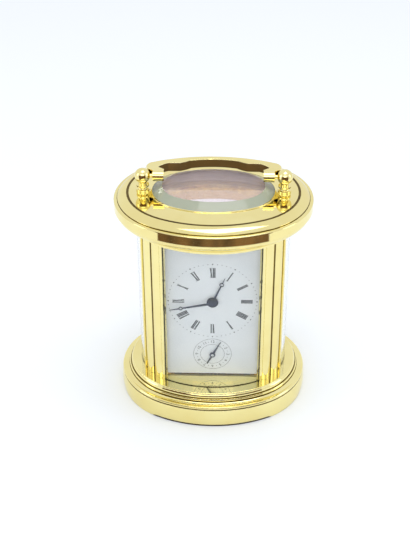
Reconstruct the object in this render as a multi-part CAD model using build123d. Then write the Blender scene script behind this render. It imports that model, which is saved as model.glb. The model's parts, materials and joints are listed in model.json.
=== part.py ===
from build123d import *
import math
import os

# Oval brass carriage clock with an alarm, its handle folded back. All lengths are in millimetres.
# The origin is the middle of the foot, +Z is up and the dial faces -Y.

# Which face of a cylinder stands at its place
FROM_FOOT = (Align.CENTER, Align.CENTER, Align.MIN)
FROM_TOP = (Align.CENTER, Align.CENTER, Align.MAX)

# Fits and working allowances
OVERRUN = 1.0  # how far a cutter runs past the face that it opens
PIVOT_FIT = 0.04  # radial play of an arbor in its hole
SCREW_FIT = 0.03  # radial play of a screw in its hole
GROOVE_FIT = 0.05  # play of glass or a plate in its groove
RUNNING_GAP = 0.3  # between pieces that pass each other
HAIR_GAP = 0.1  # between fine pieces that pass each other

# The case: an oval of four arcs, drawn in from the cornice's outline
CASE_WIDTH = 100.0
CASE_DEPTH = 82.6
END_DROP = 2.7  # by which the outline's rounded ends are tighter than half its depth
END_RADIUS = CASE_DEPTH / 2 - END_DROP
CASE_HEIGHT = 119.1  # foot to top plate
LEDGE_HEIGHT = 17.5  # foot to the ledge on which the pillars stand
CORNICE_HEIGHT = 18.1

# Base moulding, as insets from the outline and heights above the foot
PLINTH_EDGE = 0.5
PLINTH_HEIGHT = 10.3
FOOT_GROOVE = 0.95
BEAD_FOOT = 10.6
BEAD_TOP = 12.4
BEAD_FACE = 0.4
SHELF_INSET = 1.6
SHELF_BACK = 4.4
SHELF_TOP = 13.1
ROLL_TOP = 14.7
ROLL_FACE = 4.1
NECK_INSET = 5.2
NECK_TOP = 16.7
LEDGE_INSET = 6.5
LEDGE_ROUND = 0.7
BASE_WALL = 7.0
BASE_FLANGE = 5.5  # thickness of the ring under the pillars
ARCH_HALF_WIDTH = 33.0  # of the shallow cut-outs between the feet
ARCH_HEIGHT = 1.1
ARCH_END = 4.0
FLOOR_THICKNESS = 2.5
FLOOR_INSET = 14.6

# Cornice moulding, as insets from the outline and heights above its own foot
BAND_FOOT = 10.4
BAND_TOP = 14.6
BAND_ROUND = 0.7
OVOLO_FOOT = 15.8
OVOLO_FACE = 1.9
OVOLO_MID_SHARES = (0.42, 0.72)
COVE_FOOT = 1.0
COVE_MIDDLE = (7.0, 4.2)
COVE_TOP = (3.0, 6.5)
SWELL_MIDDLE = (1.3, 8.0)
SWELL_TOP = (0.6, 9.8)
NECK_FILLET = 0.8
CORNICE_FLANGE = 3.6
CORNICE_WALL_INSET = 9.6

# Top plate, its bevelled glass and the rim round it
PLATE_INSET = 7.0
PLATE_THICKNESS = 2.5
PLATE_BREAK = 0.2
GLASS_TOP_INSET = 19.4
GLASS_SEAT = 1.6
GLASS_SEAT_HEIGHT = 0.8
GLASS_STAND = 0.3  # of the bevel's lower edge above the plate
BEVEL_WIDTH = 4.9
BEVEL_RISE = 2.7
RIM_WIDTH = 0.7
RIM_HEIGHT = 0.35

# Case glasses and the reeded pillars that hold them
GLASS_INSET = 10.9
GLASS_THICKNESS = 1.8
GROOVE_DEPTH = 1.0
PILLAR_INSET = 10.3
PILLAR_WALL = 3.7
PILLAR_WEB = 1.2  # of the reeds' valley below the lips
PILLAR_FRONT_ANGLE = 61.0  # of the flank beside the front glass, at the end's centre
PILLAR_SIDE_ANGLE = 27.0
REED_RADIUS = 3.5
REED_CREST = 10.1
REED_SPACING = 14.6  # degrees at the end's centre
LIP_WIDTH = 1.4
SLOT_DEPTH = 1.1

# Screws that hold the case and the movement's seat
SCREW_RADIUS = 1.0
SCREW_HEAD_RADIUS = 1.9
SCREW_HEAD_HEIGHT = 1.4
SCREW_GRIP = 6.0
SLOT_WIDTH = 0.5
SLOT_CUT = 0.6

# Handle and its ball posts
POST_INSET = 14.7  # from the case's end to the middle of each ball
HANDLE_SPAN = CASE_WIDTH / 2 - POST_INSET
PIVOT_HEIGHT = 8.0  # above the top plate
BALL_RADIUS = 3.9
POST_FOOT_RADIUS = 3.3
POST_FOOT_HEIGHT = 1.0
POST_WAIST_RADIUS = 2.2
POST_COLLAR_RADIUS = 3.2
POST_COLLAR_FOOT = 2.5
POST_COLLAR_TOP = 3.3
POST_NECK_RADIUS = 2.0
STUD_RADIUS = 1.5
STUD_LENGTH = 5.5
NUT_RADIUS = 3.0
NUT_HEIGHT = 2.2
PIN_RADIUS = 0.9
PIN_IN_BALL = 1.6
PIN_IN_LUG = 4.2
HANDLE_THICKNESS = 4.6
HANDLE_REACH = 17.0  # pivots to the outside of the bow
HANDLE_INSET = 1.7  # from the middle of each ball to the handle's shoulder
HANDLE_HALF_WIDTH = HANDLE_SPAN - HANDLE_INSET
LUG_GAP = 5.2  # from the middle of each ball to its lug
LUG_WIDTH = 5.4
LUG_OUTER = HANDLE_SPAN - LUG_GAP
LUG_INNER = LUG_OUTER - LUG_WIDTH
LUG_RADIUS = 2.7
HANDLE_BREAK = 0.25
# across and back, as shares of the handle's half width and reach
SHOULDER_SHARES = [(0.985, 0.22), (1.0, 0.42), (0.93, 0.60), (0.795, 0.715)]
BOW_INNER_SHARE = 0.815
OGEE_SHARES = [(0.36, 0.715), (0.43, 0.62), (0.5, 0.555)]
RECESS_SHARES = [(0.68, 0.545), (0.755, 0.45), (0.825, 0.29)]

# Rear door
DOOR_INSET = 10.6
DOOR_THICKNESS = 3.0
DOOR_STILE = 4.2
DOOR_RAIL = 4.8
DOOR_GLASS_THICKNESS = 1.4
DOOR_GLASS_GRIP = 1.2
HINGE_PIN_RADIUS = 0.8
HINGE_PIN_GRIP = 3.0
KNOB_RADIUS = 2.4
KNOB_NECK_RADIUS = 0.8
KNOB_LENGTH = 4.6
KNOB_FOOT_SHARE = 0.75

# Movement plates, as places along Y, and their outline
DIAL_FACE = -18.5
DIAL_THICKNESS = 1.2
FRONT_PLATE_FACE = -12.0
MOVEMENT_GAP = 18.2
MOVEMENT_PLATE_THICKNESS = 1.8
MOVEMENT_HALF_WIDTH = 22.0
MOVEMENT_HEIGHT = 74.5
MOVEMENT_CORNER = 2.0
PILLAR_ROD_RADIUS = 2.2
PILLAR_COLLAR_RADIUS = 2.8
PILLAR_COLLAR_LENGTH = 2.5
PILLAR_EDGE = 3.6  # from the plate's edges to each pillar's axis
PLATE_SCREW_RADIUS = 0.9
PLATE_SCREW_HEAD = 2.0
PLATE_SCREW_HEAD_HEIGHT = 1.1
PLATE_SCREW_GRIP = 3.5

# Dial
DIAL_HALF_WIDTH = 26.6
DIAL_FOOT_GAP = 1.0
DIAL_TOP_GAP = 1.0
DIAL_FOOT_RADIUS = 1.0
DIAL_FOOT_ACROSS = 17.5
DIAL_FEET_LOW = 25.4
DIAL_FEET_HIGH = 83.2

# Train: each arbor's place as (across, up)
CENTRE = (0.0, 65.2)
BARREL = (-7.0, 50.6)
CONTRATE = (5.0, 80.0)
ALARM = (0.0, 31.4)
ALARM_BARREL = (12.6, 34.6)
MINUTE_ANGLE = -40.0  # of the minute wheel's stud, seen from the centre
ALARM_PINION_ANGLE = 60.0
ARBOR_RADIUS = 0.7
PIVOT_RADIUS = 0.45
PIVOT_LENGTH = 1.5
COLLET_RADIUS = 1.7

# Gear teeth, as shares of the module or of the pitch
ADDENDUM_SHARE = 0.8
DEDENDUM_SHARE = 1.15
PITCH_TOOTH_SHARE = 0.40
TIP_TOOTH_SHARE = 0.17
ROOT_TOOTH_SHARE = 0.56
LEAF_TOOTH_SHARE = 0.34
LEAF_TIP_SHARE = 0.17
LEAF_ROOT_SHARE = 0.40

REST_PHASE = 0.0  # angle of a tooth's middle on each driving wheel at rest
BARREL_TEETH = 48
CENTRE_LEAVES = 6
BARREL_MODULE = 0.6
CENTRE_TEETH = 48
THIRD_LEAVES = 6
CENTRE_MODULE = 0.42
THIRD_TEETH = 45
CONTRATE_LEAVES = 6
THIRD_MODULE = 0.40
CONTRATE_TEETH = 60
ESCAPE_LEAVES = 6
CONTRATE_MODULE = 0.28
CANNON_TEETH = 10
MINUTE_TEETH = 30
MOTION_MODULE = 0.54
MINUTE_LEAVES = 8
HOUR_TEETH = 32
ALARM_TEETH = 36
ALARM_LEAVES = 6
ALARM_MODULE = 0.46
ESCAPE_TEETH = 15
ALARM_ESCAPE_TEETH = 12
ALARM_ESCAPE_RADIUS = 4.0
ALARM_ESCAPE_PHASE = 15.0
RATCHET_TEETH = 24

# Places along Y of the train's wheels, measured back from the front plate's rear face
WHEEL_THICKNESS = 1.0
CENTRE_WHEEL_PLACE = 1.6
THIRD_WHEEL_PLACE = 4.8
CONTRATE_PLACE = 8.6
BARREL_DRUM_PLACE = 3.6
BARREL_DRUM_LENGTH = 11.0
BARREL_WHEEL_PLACE = 14.8
BARREL_DRUM_RADIUS = 12.4
ALARM_DRUM_PLACE = 4.0
ALARM_DRUM_LENGTH = 8.0
ALARM_DRUM_RADIUS = 7.0
ALARM_WHEEL_PLACE = 12.2
ALARM_ESCAPE_PLACE = 2.0
PINION_MARGIN = 0.7
CONTRATE_FACE = 1.2
CONTRATE_WEB = 0.9
BARREL_ARBOR_RADIUS = 1.5
CROSSING_RIM = 1.5
CROSSING_HUB = 2.4
SPOKE_WIDTH = 0.9

# Motion work in front of the front plate
CANNON_GAP = 0.4
CANNON_LENGTH = 1.4
MINUTE_WHEEL_GAP = 0.7
MOTION_THICKNESS = 0.8
MINUTE_LEAF_LENGTH = 1.6
HOUR_WHEEL_GAP = 2.3
CANNON_PIPE_RADIUS = 1.35
HOUR_PIPE_RADIUS = 2.0
PIPE_FIT = 0.08
MOTION_STUD_RADIUS = 0.9

# Hands
HAND_THICKNESS = 0.45
HOUR_HAND_GAP = 0.9
MINUTE_HAND_GAP = 1.9
ALARM_HAND_GAP = 0.8
MINUTE_HAND_LENGTH = 22.2
HOUR_HAND_LENGTH = 15.9
ALARM_HAND_LENGTH = 9.3
ALARM_TAIL_LENGTH = 6.2
MINUTE_HUB_RADIUS = 2.3
HOUR_HUB_RADIUS = 2.95
ALARM_HUB_RADIUS = 1.5
MINUTE_HAND_TURN = 258.4  # clockwise from twelve at rest
HOUR_HAND_TURN = 23.0
ALARM_HAND_TURN = 26.6
MOON_RING_SHARE = 0.74
MINUTE_RING_RADIUS = 1.0
HOUR_RING_RADIUS = 1.15
RING_WALL = 0.35
HAND_ROOT_WIDTH = 1.2
HAND_NECK_WIDTH = 0.55
HAND_TIP_WIDTH = 0.2
ALARM_ARBOR_RADIUS = 0.8
DIAL_HOLE_FIT = 0.3

# Winding and setting squares behind the back plate
RATCHET_RADIUS = 5.2
RATCHET_ROOT_SHARE = 0.84
RATCHET_FLANK_SHARE = 0.12
RATCHET_GAP = 0.3
SQUARE_WIDTH = 1.9
SQUARE_LENGTH = 5.0
CLICK_ARM = 8.6
CLICK_ANGLE = 35.0
CLICK_BOSS = 1.5
CLICK_SCREW_RADIUS = 0.6
CLICK_NOSE_TEETH = 2
CLICK_DEPTH = 0.55
CLICK_NOSE_TURN = 2.6  # degrees past the tooth that the click holds
CLICK_CREST_TURN = 1.6
CLICK_BACK_TURN = 5.0
CLICK_TAIL_TURN = 10.0
CLICK_HEEL_TURN = 16.0
CLICK_LIFT = 0.3
SPRING_WIDTH = 0.3
SPRING_FOOT = 0.8
SPRING_FOOT_ANGLE = -20.0
SPRING_DROP = 0.0

# Platform escapement, with its places across and back
PLATFORM_THICKNESS = 1.6
PLATFORM_HALF_WIDTH = 18.0
PLATFORM_MARGIN = 0.6
PLATFORM_SCREW_RADIUS = 0.7
PLATFORM_SCREW_HEAD = 1.2
PLATFORM_SCREW_GRIP = 3.0
PLATFORM_SCREW_ACROSS = 15.0
ESCAPE_RADIUS = 3.6
ESCAPE_ROOT_SHARE = 0.74
ESCAPE_TIP_WIDTH = 0.12
SAW_BACK_SHARE = 0.3
SAW_FLOOR_SHARE = 0.85
ESCAPE_LEVEL = 0.8  # above the platform
ESCAPE_THICKNESS = 0.5
ESCAPE_HOLE_RADIUS = 1.5
ESCAPE_PHASE = 12.0
ESCAPE_DROP = 5.0
POTENCE_THICKNESS = 0.8
POTENCE_REACH = 5.5
POTENCE_WIDTH = 1.9
PALLET_SPAN_ANGLE = 30.0
STONE_WIDTH = 0.5
STONE_LENGTH = 0.9
STONE_CLEARANCE = 0.14
FORK_LENGTH = 5.6
FORK_WIDTH = 0.6
NOTCH_HALF_WIDTH = 0.56
HORN_WIDTH = 0.3
HORN_OVERLAP = 0.13
HORN_LENGTH = 1.1
NOTCH_DEPTH = 0.7
IMPULSE_RADIUS = 2.0
IMPULSE_PIN_RADIUS = 0.2
ROLLER_RADIUS = 2.4
ROLLER_THICKNESS = 0.4
ROLLER_LEVEL = 1.8
BALANCE_RADIUS = 6.0
BALANCE_RIM = 0.9
BALANCE_ARMS = 3
BALANCE_THICKNESS = 0.9
BALANCE_LEVEL = 4.2
STAFF_RADIUS = 0.4
FINE_PIVOT_RADIUS = 0.15
FINE_PIVOT_FIT = 0.03
COCK_LEVEL = 7.4
COCK_THICKNESS = 1.3
COCK_FOOT = 1.4
COCK_WIDTH = 3.2
COCK_HEAD = 2.6
BRIDGE_LEVEL = 2.3
BRIDGE_THICKNESS = 0.8
BRIDGE_FOOT = 2.4
JEWEL_RADIUS = 0.9
HAIRSPRING_LEVEL = 6.0
HAIRSPRING_TURNS = 5
HAIRSPRING_INNER = 0.75
HAIRSPRING_PITCH = 0.7
HAIRSPRING_WIRE = 0.24
HAIRSPRING_STUD = 0.45

# Alarm striking work
HAMMER_ARBOR = (9.6, 47.9)
HAMMER_HEAD = (-6.0, 39.3)
HAMMER_HEAD_RADIUS = 1.6
HAMMER_ARM_WIDTH = 1.1
VERGE_ANGLE = 37.5
VERGE_CLEARANCE = 0.95
VERGE_PIN_RADIUS = 0.35
BELL_CENTRE = (-12.0, 29.5)
BELL_RADIUS = 9.0
BELL_DEPTH = 6.4
BELL_WALL = 0.9
BELL_CROWN_SHARE = 0.78
BELL_BEND_SHARE = 0.7
BELL_GAP = 1.4
BELL_POST_RADIUS = 1.5
BELL_NUT_RADIUS = 2.0


def polar(radius, angle):
    """The point at a radius and an angle in degrees."""
    return radius * math.cos(math.radians(angle)), radius * math.sin(math.radians(angle))


# Plan of the case

HALF_WIDTH = CASE_WIDTH / 2
HALF_DEPTH = CASE_DEPTH / 2
SIDE_RADIUS = (HALF_WIDTH**2 + HALF_DEPTH**2 - 2 * HALF_WIDTH * END_RADIUS) / (
    2 * (HALF_DEPTH - END_RADIUS)
)
END_X = HALF_WIDTH - END_RADIUS
SIDE_Y = SIDE_RADIUS - HALF_DEPTH
JOIN_ANGLE = math.degrees(math.atan2(SIDE_Y, END_X))
CORNICE_FOOT = CASE_HEIGHT - CORNICE_HEIGHT
PLATE_FOOT = CASE_HEIGHT - PLATE_THICKNESS


def oval(inset):
    """The case's outline, drawn in by inset all round."""
    end = END_RADIUS - inset
    across, along = polar(end, JOIN_ANGLE)
    across += END_X
    right, back = HALF_WIDTH - inset, HALF_DEPTH - inset
    return make_face(
        [
            ThreePointArc((across, -along), (right, 0), (across, along)),
            ThreePointArc((across, along), (0, back), (-across, along)),
            ThreePointArc((-across, along), (-right, 0), (-across, -along)),
            ThreePointArc((-across, -along), (0, -back), (across, -along)),
        ]
    )


def slab(face, low, high):
    """A flat outline in plan, as a piece from one height to another."""
    return extrude(Pos(0, 0, low) * face, high - low)


def oval_ring(outer, inner, low, high):
    return slab(oval(outer) - oval(inner), low, high)


def carried_round(section):
    """A section drawn at minus its inset and its height, carried round the oval."""
    sweep_end, sweep_side = 2 * JOIN_ANGLE, 180 - 2 * JOIN_ANGLE
    stretches = [
        ((END_X, 0), END_RADIUS, -JOIN_ANGLE, sweep_end),
        ((0, -SIDE_Y), SIDE_RADIUS, JOIN_ANGLE, sweep_side),
        ((-END_X, 0), END_RADIUS, 180 - JOIN_ANGLE, sweep_end),
        ((0, SIDE_Y), SIDE_RADIUS, 180 + JOIN_ANGLE, sweep_side),
    ]
    ring = None
    for (x, y), radius, start, sweep in stretches:
        outward = polar(1, start)
        plane = Plane(
            origin=(x, y, 0), x_dir=(*outward, 0), z_dir=(outward[1], -outward[0], 0)
        )
        stretch = revolve(plane * Pos(radius, 0) * section, Axis((x, y, 0), (0, 0, 1)), sweep)
        ring = stretch if ring is None else ring + stretch
    return ring


def section_face(start, steps):
    """A closed outline from insets and heights; a step is a point, or an arc's middle and end."""
    here = (-start[0], start[1])
    first = here
    edges = []
    for step in steps:
        if len(step) == 2:
            target = (-step[0], step[1])
            edges.append(Line(here, target))
        else:
            target = (-step[2], step[3])
            edges.append(ThreePointArc(here, (-step[0], step[1]), target))
        here = target
    edges.append(Line(here, first))
    return make_face(edges)


def wedge(low, high):
    """A sector at the right end's centre, between two angles in degrees."""
    near, far = polar(CASE_WIDTH, low), polar(CASE_WIDTH, high)
    return make_face(
        Polyline(
            (END_X, 0), (END_X + near[0], near[1]), (END_X + far[0], far[1]), close=True
        )
    )


# Case


def base_plinth():
    """The moulded ring, open underneath, with the ledge for the pillars and the glass grooves."""
    flange = LEDGE_HEIGHT - FLOOR_THICKNESS - BASE_FLANGE
    mid = PLINTH_HEIGHT / 2
    ease = LEDGE_ROUND * (1 - math.sqrt(0.5))
    ring = carried_round(
        section_face(
            (PLINTH_EDGE, 0),
            [
                (0, mid, PLINTH_EDGE, PLINTH_HEIGHT),
                (FOOT_GROOVE, PLINTH_HEIGHT),
                (FOOT_GROOVE, BEAD_FOOT),
                (BEAD_FACE, (BEAD_FOOT + BEAD_TOP) / 2, FOOT_GROOVE, BEAD_TOP),
                (SHELF_INSET, BEAD_TOP),
                ((SHELF_INSET + SHELF_BACK) / 2, BEAD_TOP, SHELF_BACK, SHELF_TOP),
                (ROLL_FACE, (SHELF_TOP + ROLL_TOP) / 2, SHELF_BACK, ROLL_TOP),
                (NECK_INSET, ROLL_TOP),
                (NECK_INSET, (ROLL_TOP + NECK_TOP) / 2, LEDGE_INSET - LEDGE_ROUND, NECK_TOP),
                (LEDGE_INSET - LEDGE_ROUND, LEDGE_HEIGHT - LEDGE_ROUND),
                (LEDGE_INSET - LEDGE_ROUND + ease, LEDGE_HEIGHT - ease, LEDGE_INSET, LEDGE_HEIGHT),
                (FLOOR_INSET, LEDGE_HEIGHT),
                (FLOOR_INSET, flange),
                (BASE_WALL, flange),
                (BASE_WALL, 0),
            ],
        )
    )
    ring += slab(oval(FLOOR_INSET - OVERRUN), LEDGE_HEIGHT - FLOOR_THICKNESS, LEDGE_HEIGHT)
    for cutter in glass_cutters(LEDGE_HEIGHT - GROOVE_DEPTH, LEDGE_HEIGHT + OVERRUN):
        ring -= cutter
    ring -= foot_arch()
    for place in pillar_screw_places() + seat_screw_places():
        ring -= Pos(*place, 0) * Cylinder(
            SCREW_RADIUS + SCREW_FIT, LEDGE_HEIGHT + OVERRUN, align=FROM_FOOT
        )
    return ring - hinge_hole(LEDGE_HEIGHT - HINGE_PIN_GRIP, LEDGE_HEIGHT + OVERRUN)


def foot_arch():
    """The shallow opening under the front and back, with ogee ends, cut right through along Y."""
    top, inner = ARCH_HEIGHT, ARCH_HALF_WIDTH - ARCH_END
    right = Spline(
        (ARCH_HALF_WIDTH, 0), (inner, top), tangents=[(-1, 0), (-1, 0)]
    )
    left = Spline((-inner, top), (-ARCH_HALF_WIDTH, 0), tangents=[(-1, 0), (-1, 0)])
    face = make_face(
        [
            right,
            Line((inner, top), (-inner, top)),
            left,
            Line((-ARCH_HALF_WIDTH, 0), (-ARCH_HALF_WIDTH, -OVERRUN)),
            Line((-ARCH_HALF_WIDTH, -OVERRUN), (ARCH_HALF_WIDTH, -OVERRUN)),
            Line((ARCH_HALF_WIDTH, -OVERRUN), (ARCH_HALF_WIDTH, 0)),
        ]
    )
    return extrude(Plane.XZ * face, CASE_DEPTH, both=True)


def top_cornice():
    """The crowning moulding: neck, cove, tall band and ovolo, rebated for the top plate."""
    foot = CORNICE_FOOT
    edge = GLASS_INSET - NECK_FILLET
    ease = BAND_ROUND * (1 - math.sqrt(0.5))
    band_top = foot + BAND_TOP + BAND_ROUND
    ovolo_mid = (
        OVOLO_FACE + (PLATE_INSET - OVOLO_FACE) * OVOLO_MID_SHARES[0],
        foot + OVOLO_FOOT + (CORNICE_HEIGHT - OVOLO_FOOT) * OVOLO_MID_SHARES[1],
    )
    inner = PILLAR_INSET + PILLAR_WALL
    ring = carried_round(
        section_face(
            (inner, foot),
            [
                (edge, foot),
                (edge, foot + COVE_FOOT),
                (COVE_MIDDLE[0], foot + COVE_MIDDLE[1], COVE_TOP[0], foot + COVE_TOP[1]),
                (SWELL_MIDDLE[0], foot + SWELL_MIDDLE[1], SWELL_TOP[0], foot + SWELL_TOP[1]),
                (0, foot + BAND_FOOT),
                (0, foot + BAND_TOP),
                (ease, band_top - ease, BAND_ROUND, band_top),
                (OVOLO_FACE, band_top),
                (OVOLO_FACE, foot + OVOLO_FOOT),
                (*ovolo_mid, PLATE_INSET - PLATE_BREAK, CASE_HEIGHT),
                (PLATE_INSET, CASE_HEIGHT - PLATE_BREAK),
                (PLATE_INSET, PLATE_FOOT),
                (CORNICE_WALL_INSET, PLATE_FOOT),
                (CORNICE_WALL_INSET, foot + CORNICE_FLANGE),
                (inner, foot + CORNICE_FLANGE),
            ],
        )
    )
    for cutter in glass_cutters(foot - OVERRUN, foot + GROOVE_DEPTH):
        ring -= cutter
    for place in pillar_screw_places():
        ring -= Pos(*place, foot - OVERRUN) * Cylinder(
            SCREW_RADIUS + SCREW_FIT, CORNICE_FLANGE + 2 * OVERRUN, align=FROM_FOOT
        )
    return ring - hinge_hole(foot - OVERRUN, foot + HINGE_PIN_GRIP)


def top_plate():
    """The flat plate, with the seat and the raised rim of its glass and the holes of the ball posts."""
    plate = slab(oval(PLATE_INSET + GROOVE_FIT), PLATE_FOOT, CASE_HEIGHT)
    plate = chamfer(plate.faces().sort_by(Axis.Z)[-1].edges(), PLATE_BREAK)
    seat = PLATE_FOOT + GLASS_SEAT_HEIGHT
    plate += oval_ring(
        GLASS_TOP_INSET - RIM_WIDTH, GLASS_TOP_INSET, CASE_HEIGHT, CASE_HEIGHT + RIM_HEIGHT
    )
    plate -= slab(oval(GLASS_TOP_INSET - GROOVE_FIT), seat, CASE_HEIGHT + RIM_HEIGHT + OVERRUN)
    plate -= slab(oval(GLASS_TOP_INSET + GLASS_SEAT), PLATE_FOOT - OVERRUN, seat + OVERRUN)
    for side in (-1, 1):
        plate -= Pos(side * HANDLE_SPAN, 0, PLATE_FOOT - OVERRUN) * Cylinder(
            STUD_RADIUS + SCREW_FIT, PLATE_THICKNESS + 2 * OVERRUN, align=FROM_FOOT
        )
    return plate


def top_glass():
    """The thick oval glass with its wide bevel."""
    seat = PLATE_FOOT + GLASS_SEAT_HEIGHT
    edge = CASE_HEIGHT + GLASS_STAND
    bevel = loft(
        [
            Pos(0, 0, edge) * oval(GLASS_TOP_INSET),
            Pos(0, 0, edge + BEVEL_RISE) * oval(GLASS_TOP_INSET + BEVEL_WIDTH),
        ],
        ruled=True,
    )
    return slab(oval(GLASS_TOP_INSET), seat, edge) + bevel


def arc_degrees(length, inset):
    """The angle that a length takes up at the end's centre, at an inset."""
    return math.degrees(length / (END_RADIUS - inset))


def front_sector(angle):
    """Everything in front of the two end centres, out to an angle beside each."""
    x, y = polar(CASE_WIDTH, angle)
    return make_face(
        Polyline((END_X, 0), (END_X + x, -y), (-END_X - x, -y), (-END_X, 0), close=True)
    )


def glass_plan(kind, ease=0.0):
    """The plan of the front or right glass, grown by an ease on its faces and edges."""
    body = oval(GLASS_INSET - ease) - oval(GLASS_INSET + GLASS_THICKNESS + ease)
    slip = GROOVE_FIT - ease
    if kind == "front":
        edge = PILLAR_FRONT_ANGLE - arc_degrees(SLOT_DEPTH - slip, GLASS_INSET)
        return body & front_sector(edge)
    edge = PILLAR_SIDE_ANGLE + arc_degrees(SLOT_DEPTH - slip, GLASS_INSET)
    return body & wedge(-edge, edge)


def glass_cutters(low, high):
    """The grooves of the front and side glasses, between two heights."""
    side = slab(glass_plan("side", GROOVE_FIT), low, high)
    return [slab(glass_plan("front", GROOVE_FIT), low, high), side, mirror(side, Plane.YZ)]


def glass_top():
    return CORNICE_FOOT + GROOVE_DEPTH - GROOVE_FIT


def front_glass():
    return slab(glass_plan("front"), LEDGE_HEIGHT - GROOVE_DEPTH, glass_top())


def side_glass():
    return slab(glass_plan("side"), LEDGE_HEIGHT - GROOVE_DEPTH, glass_top())


def reed_angles():
    middle = (PILLAR_FRONT_ANGLE + PILLAR_SIDE_ANGLE) / 2
    return middle - REED_SPACING / 2, middle + REED_SPACING / 2


def pillar_screw_places():
    """The four screws, on the reed beside the front or the back of each pillar."""
    x, y = polar(END_RADIUS - PILLAR_INSET - PILLAR_WALL / 2, reed_angles()[1])
    return [(sx * (END_X + x), sy * y) for sx in (-1, 1) for sy in (-1, 1)]


def pillar(front):
    """A right pillar, drawn at the front: two reeds between the lips that cover the glasses."""
    inner = PILLAR_INSET + PILLAR_WALL
    valley = PILLAR_INSET + PILLAR_WEB
    whole = wedge(-PILLAR_FRONT_ANGLE, -PILLAR_SIDE_ANGLE)
    plan = (oval(valley) - oval(inner)) & whole
    lip = arc_degrees(LIP_WIDTH, PILLAR_INSET)
    face = oval(PILLAR_INSET) - oval(inner)
    plan += face & wedge(-PILLAR_FRONT_ANGLE, lip - PILLAR_FRONT_ANGLE)
    plan += face & wedge(-PILLAR_SIDE_ANGLE - lip, -PILLAR_SIDE_ANGLE)
    for angle in reed_angles():
        x, y = polar(END_RADIUS - REED_CREST - REED_RADIUS, angle)
        plan += Pos(END_X + x, -y) * Circle(REED_RADIUS) - oval(inner)
    post = slab(plan, LEDGE_HEIGHT, CORNICE_FOOT)
    front_cut, side_cut = glass_cutters(LEDGE_HEIGHT - OVERRUN, CORNICE_FOOT + OVERRUN)[:2]
    post -= side_cut
    if front:
        post -= front_cut
    x, y = pillar_screw_places()[2]
    hole = SCREW_GRIP + OVERRUN
    for height in (LEDGE_HEIGHT - OVERRUN, CORNICE_FOOT - SCREW_GRIP):
        post -= Pos(x, y, height) * Cylinder(SCREW_RADIUS + SCREW_FIT, hole, align=FROM_FOOT)
    return post


def screw(grip, radius=SCREW_RADIUS, head=SCREW_HEAD_RADIUS, height=SCREW_HEAD_HEIGHT):
    """A slotted screw pointing up, its head's seat at zero."""
    body = Cylinder(radius, grip, align=FROM_FOOT)
    body += Cylinder(head, height, align=FROM_TOP)
    return body - Pos(0, 0, -height) * Box(3 * head, SLOT_WIDTH, 2 * SLOT_CUT)


def case_screws():
    """Screws up through the base, down through the cornice and up into the movement's pillars."""
    flange = LEDGE_HEIGHT - FLOOR_THICKNESS - BASE_FLANGE
    up = screw(LEDGE_HEIGHT - flange + SCREW_GRIP - OVERRUN)
    down = Rot(180, 0, 0) * screw(CORNICE_FLANGE + SCREW_GRIP - OVERRUN)
    seat = screw(FLOOR_THICKNESS + PILLAR_EDGE)
    screws = [Pos(*place, flange) * up for place in pillar_screw_places()]
    screws += [
        Pos(*place, CORNICE_FOOT + CORNICE_FLANGE) * down for place in pillar_screw_places()
    ]
    screws += [
        Pos(*place, LEDGE_HEIGHT - FLOOR_THICKNESS) * seat for place in seat_screw_places()
    ]
    return Compound(children=screws)


def hinge_axis():
    """The rear door's pin, beside the right pillar's flank and in the middle of the door."""
    radius = END_RADIUS - DOOR_INSET - DOOR_THICKNESS / 2
    x, y = polar(radius, PILLAR_FRONT_ANGLE)
    step = DOOR_THICKNESS / 2 + RUNNING_GAP
    along = polar(step, PILLAR_FRONT_ANGLE + 90)
    return END_X + x + along[0], y + along[1]


def hinge_hole(low, high):
    return Pos(*hinge_axis(), low) * Cylinder(
        HINGE_PIN_RADIUS + SCREW_FIT, high - low, align=FROM_FOOT
    )


def door_hinge_pins():
    length = 2 * HINGE_PIN_GRIP
    pin = Cylinder(HINGE_PIN_RADIUS, length, align=FROM_FOOT)
    x, y = hinge_axis()
    return Compound(
        children=[
            Pos(x, y, LEDGE_HEIGHT - HINGE_PIN_GRIP) * pin,
            Pos(x, y, CORNICE_FOOT - HINGE_PIN_GRIP) * pin,
        ]
    )


# Handle


def handle_posts():
    """The turned post with its ball, for either side, and the stud below the plate."""
    ball_foot = PIVOT_HEIGHT - math.sqrt(BALL_RADIUS**2 - POST_NECK_RADIUS**2)
    waist = (POST_FOOT_HEIGHT + POST_COLLAR_FOOT) / 2
    outline = make_face(
        [
            Polyline(
                (0, -PLATE_THICKNESS - STUD_LENGTH),
                (STUD_RADIUS, -PLATE_THICKNESS - STUD_LENGTH),
                (STUD_RADIUS, 0),
                (POST_FOOT_RADIUS, 0),
                (POST_FOOT_RADIUS, POST_FOOT_HEIGHT),
            ),
            ThreePointArc(
                (POST_FOOT_RADIUS, POST_FOOT_HEIGHT),
                (POST_WAIST_RADIUS, waist),
                (POST_COLLAR_RADIUS, POST_COLLAR_FOOT),
            ),
            Polyline(
                (POST_COLLAR_RADIUS, POST_COLLAR_FOOT),
                (POST_COLLAR_RADIUS, POST_COLLAR_TOP),
                (POST_NECK_RADIUS, POST_COLLAR_TOP),
                (POST_NECK_RADIUS, ball_foot),
            ),
            ThreePointArc(
                (POST_NECK_RADIUS, ball_foot),
                (BALL_RADIUS, PIVOT_HEIGHT),
                (0, PIVOT_HEIGHT + BALL_RADIUS),
            ),
            Line((0, PIVOT_HEIGHT + BALL_RADIUS), (0, -PLATE_THICKNESS - STUD_LENGTH)),
        ]
    )
    turned = Pos(HANDLE_SPAN, 0, CASE_HEIGHT) * revolve(Plane.XZ * outline, Axis.Z)
    turned -= pivot_rod(PIN_RADIUS + SCREW_FIT, PIN_IN_BALL)
    return turned


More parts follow.
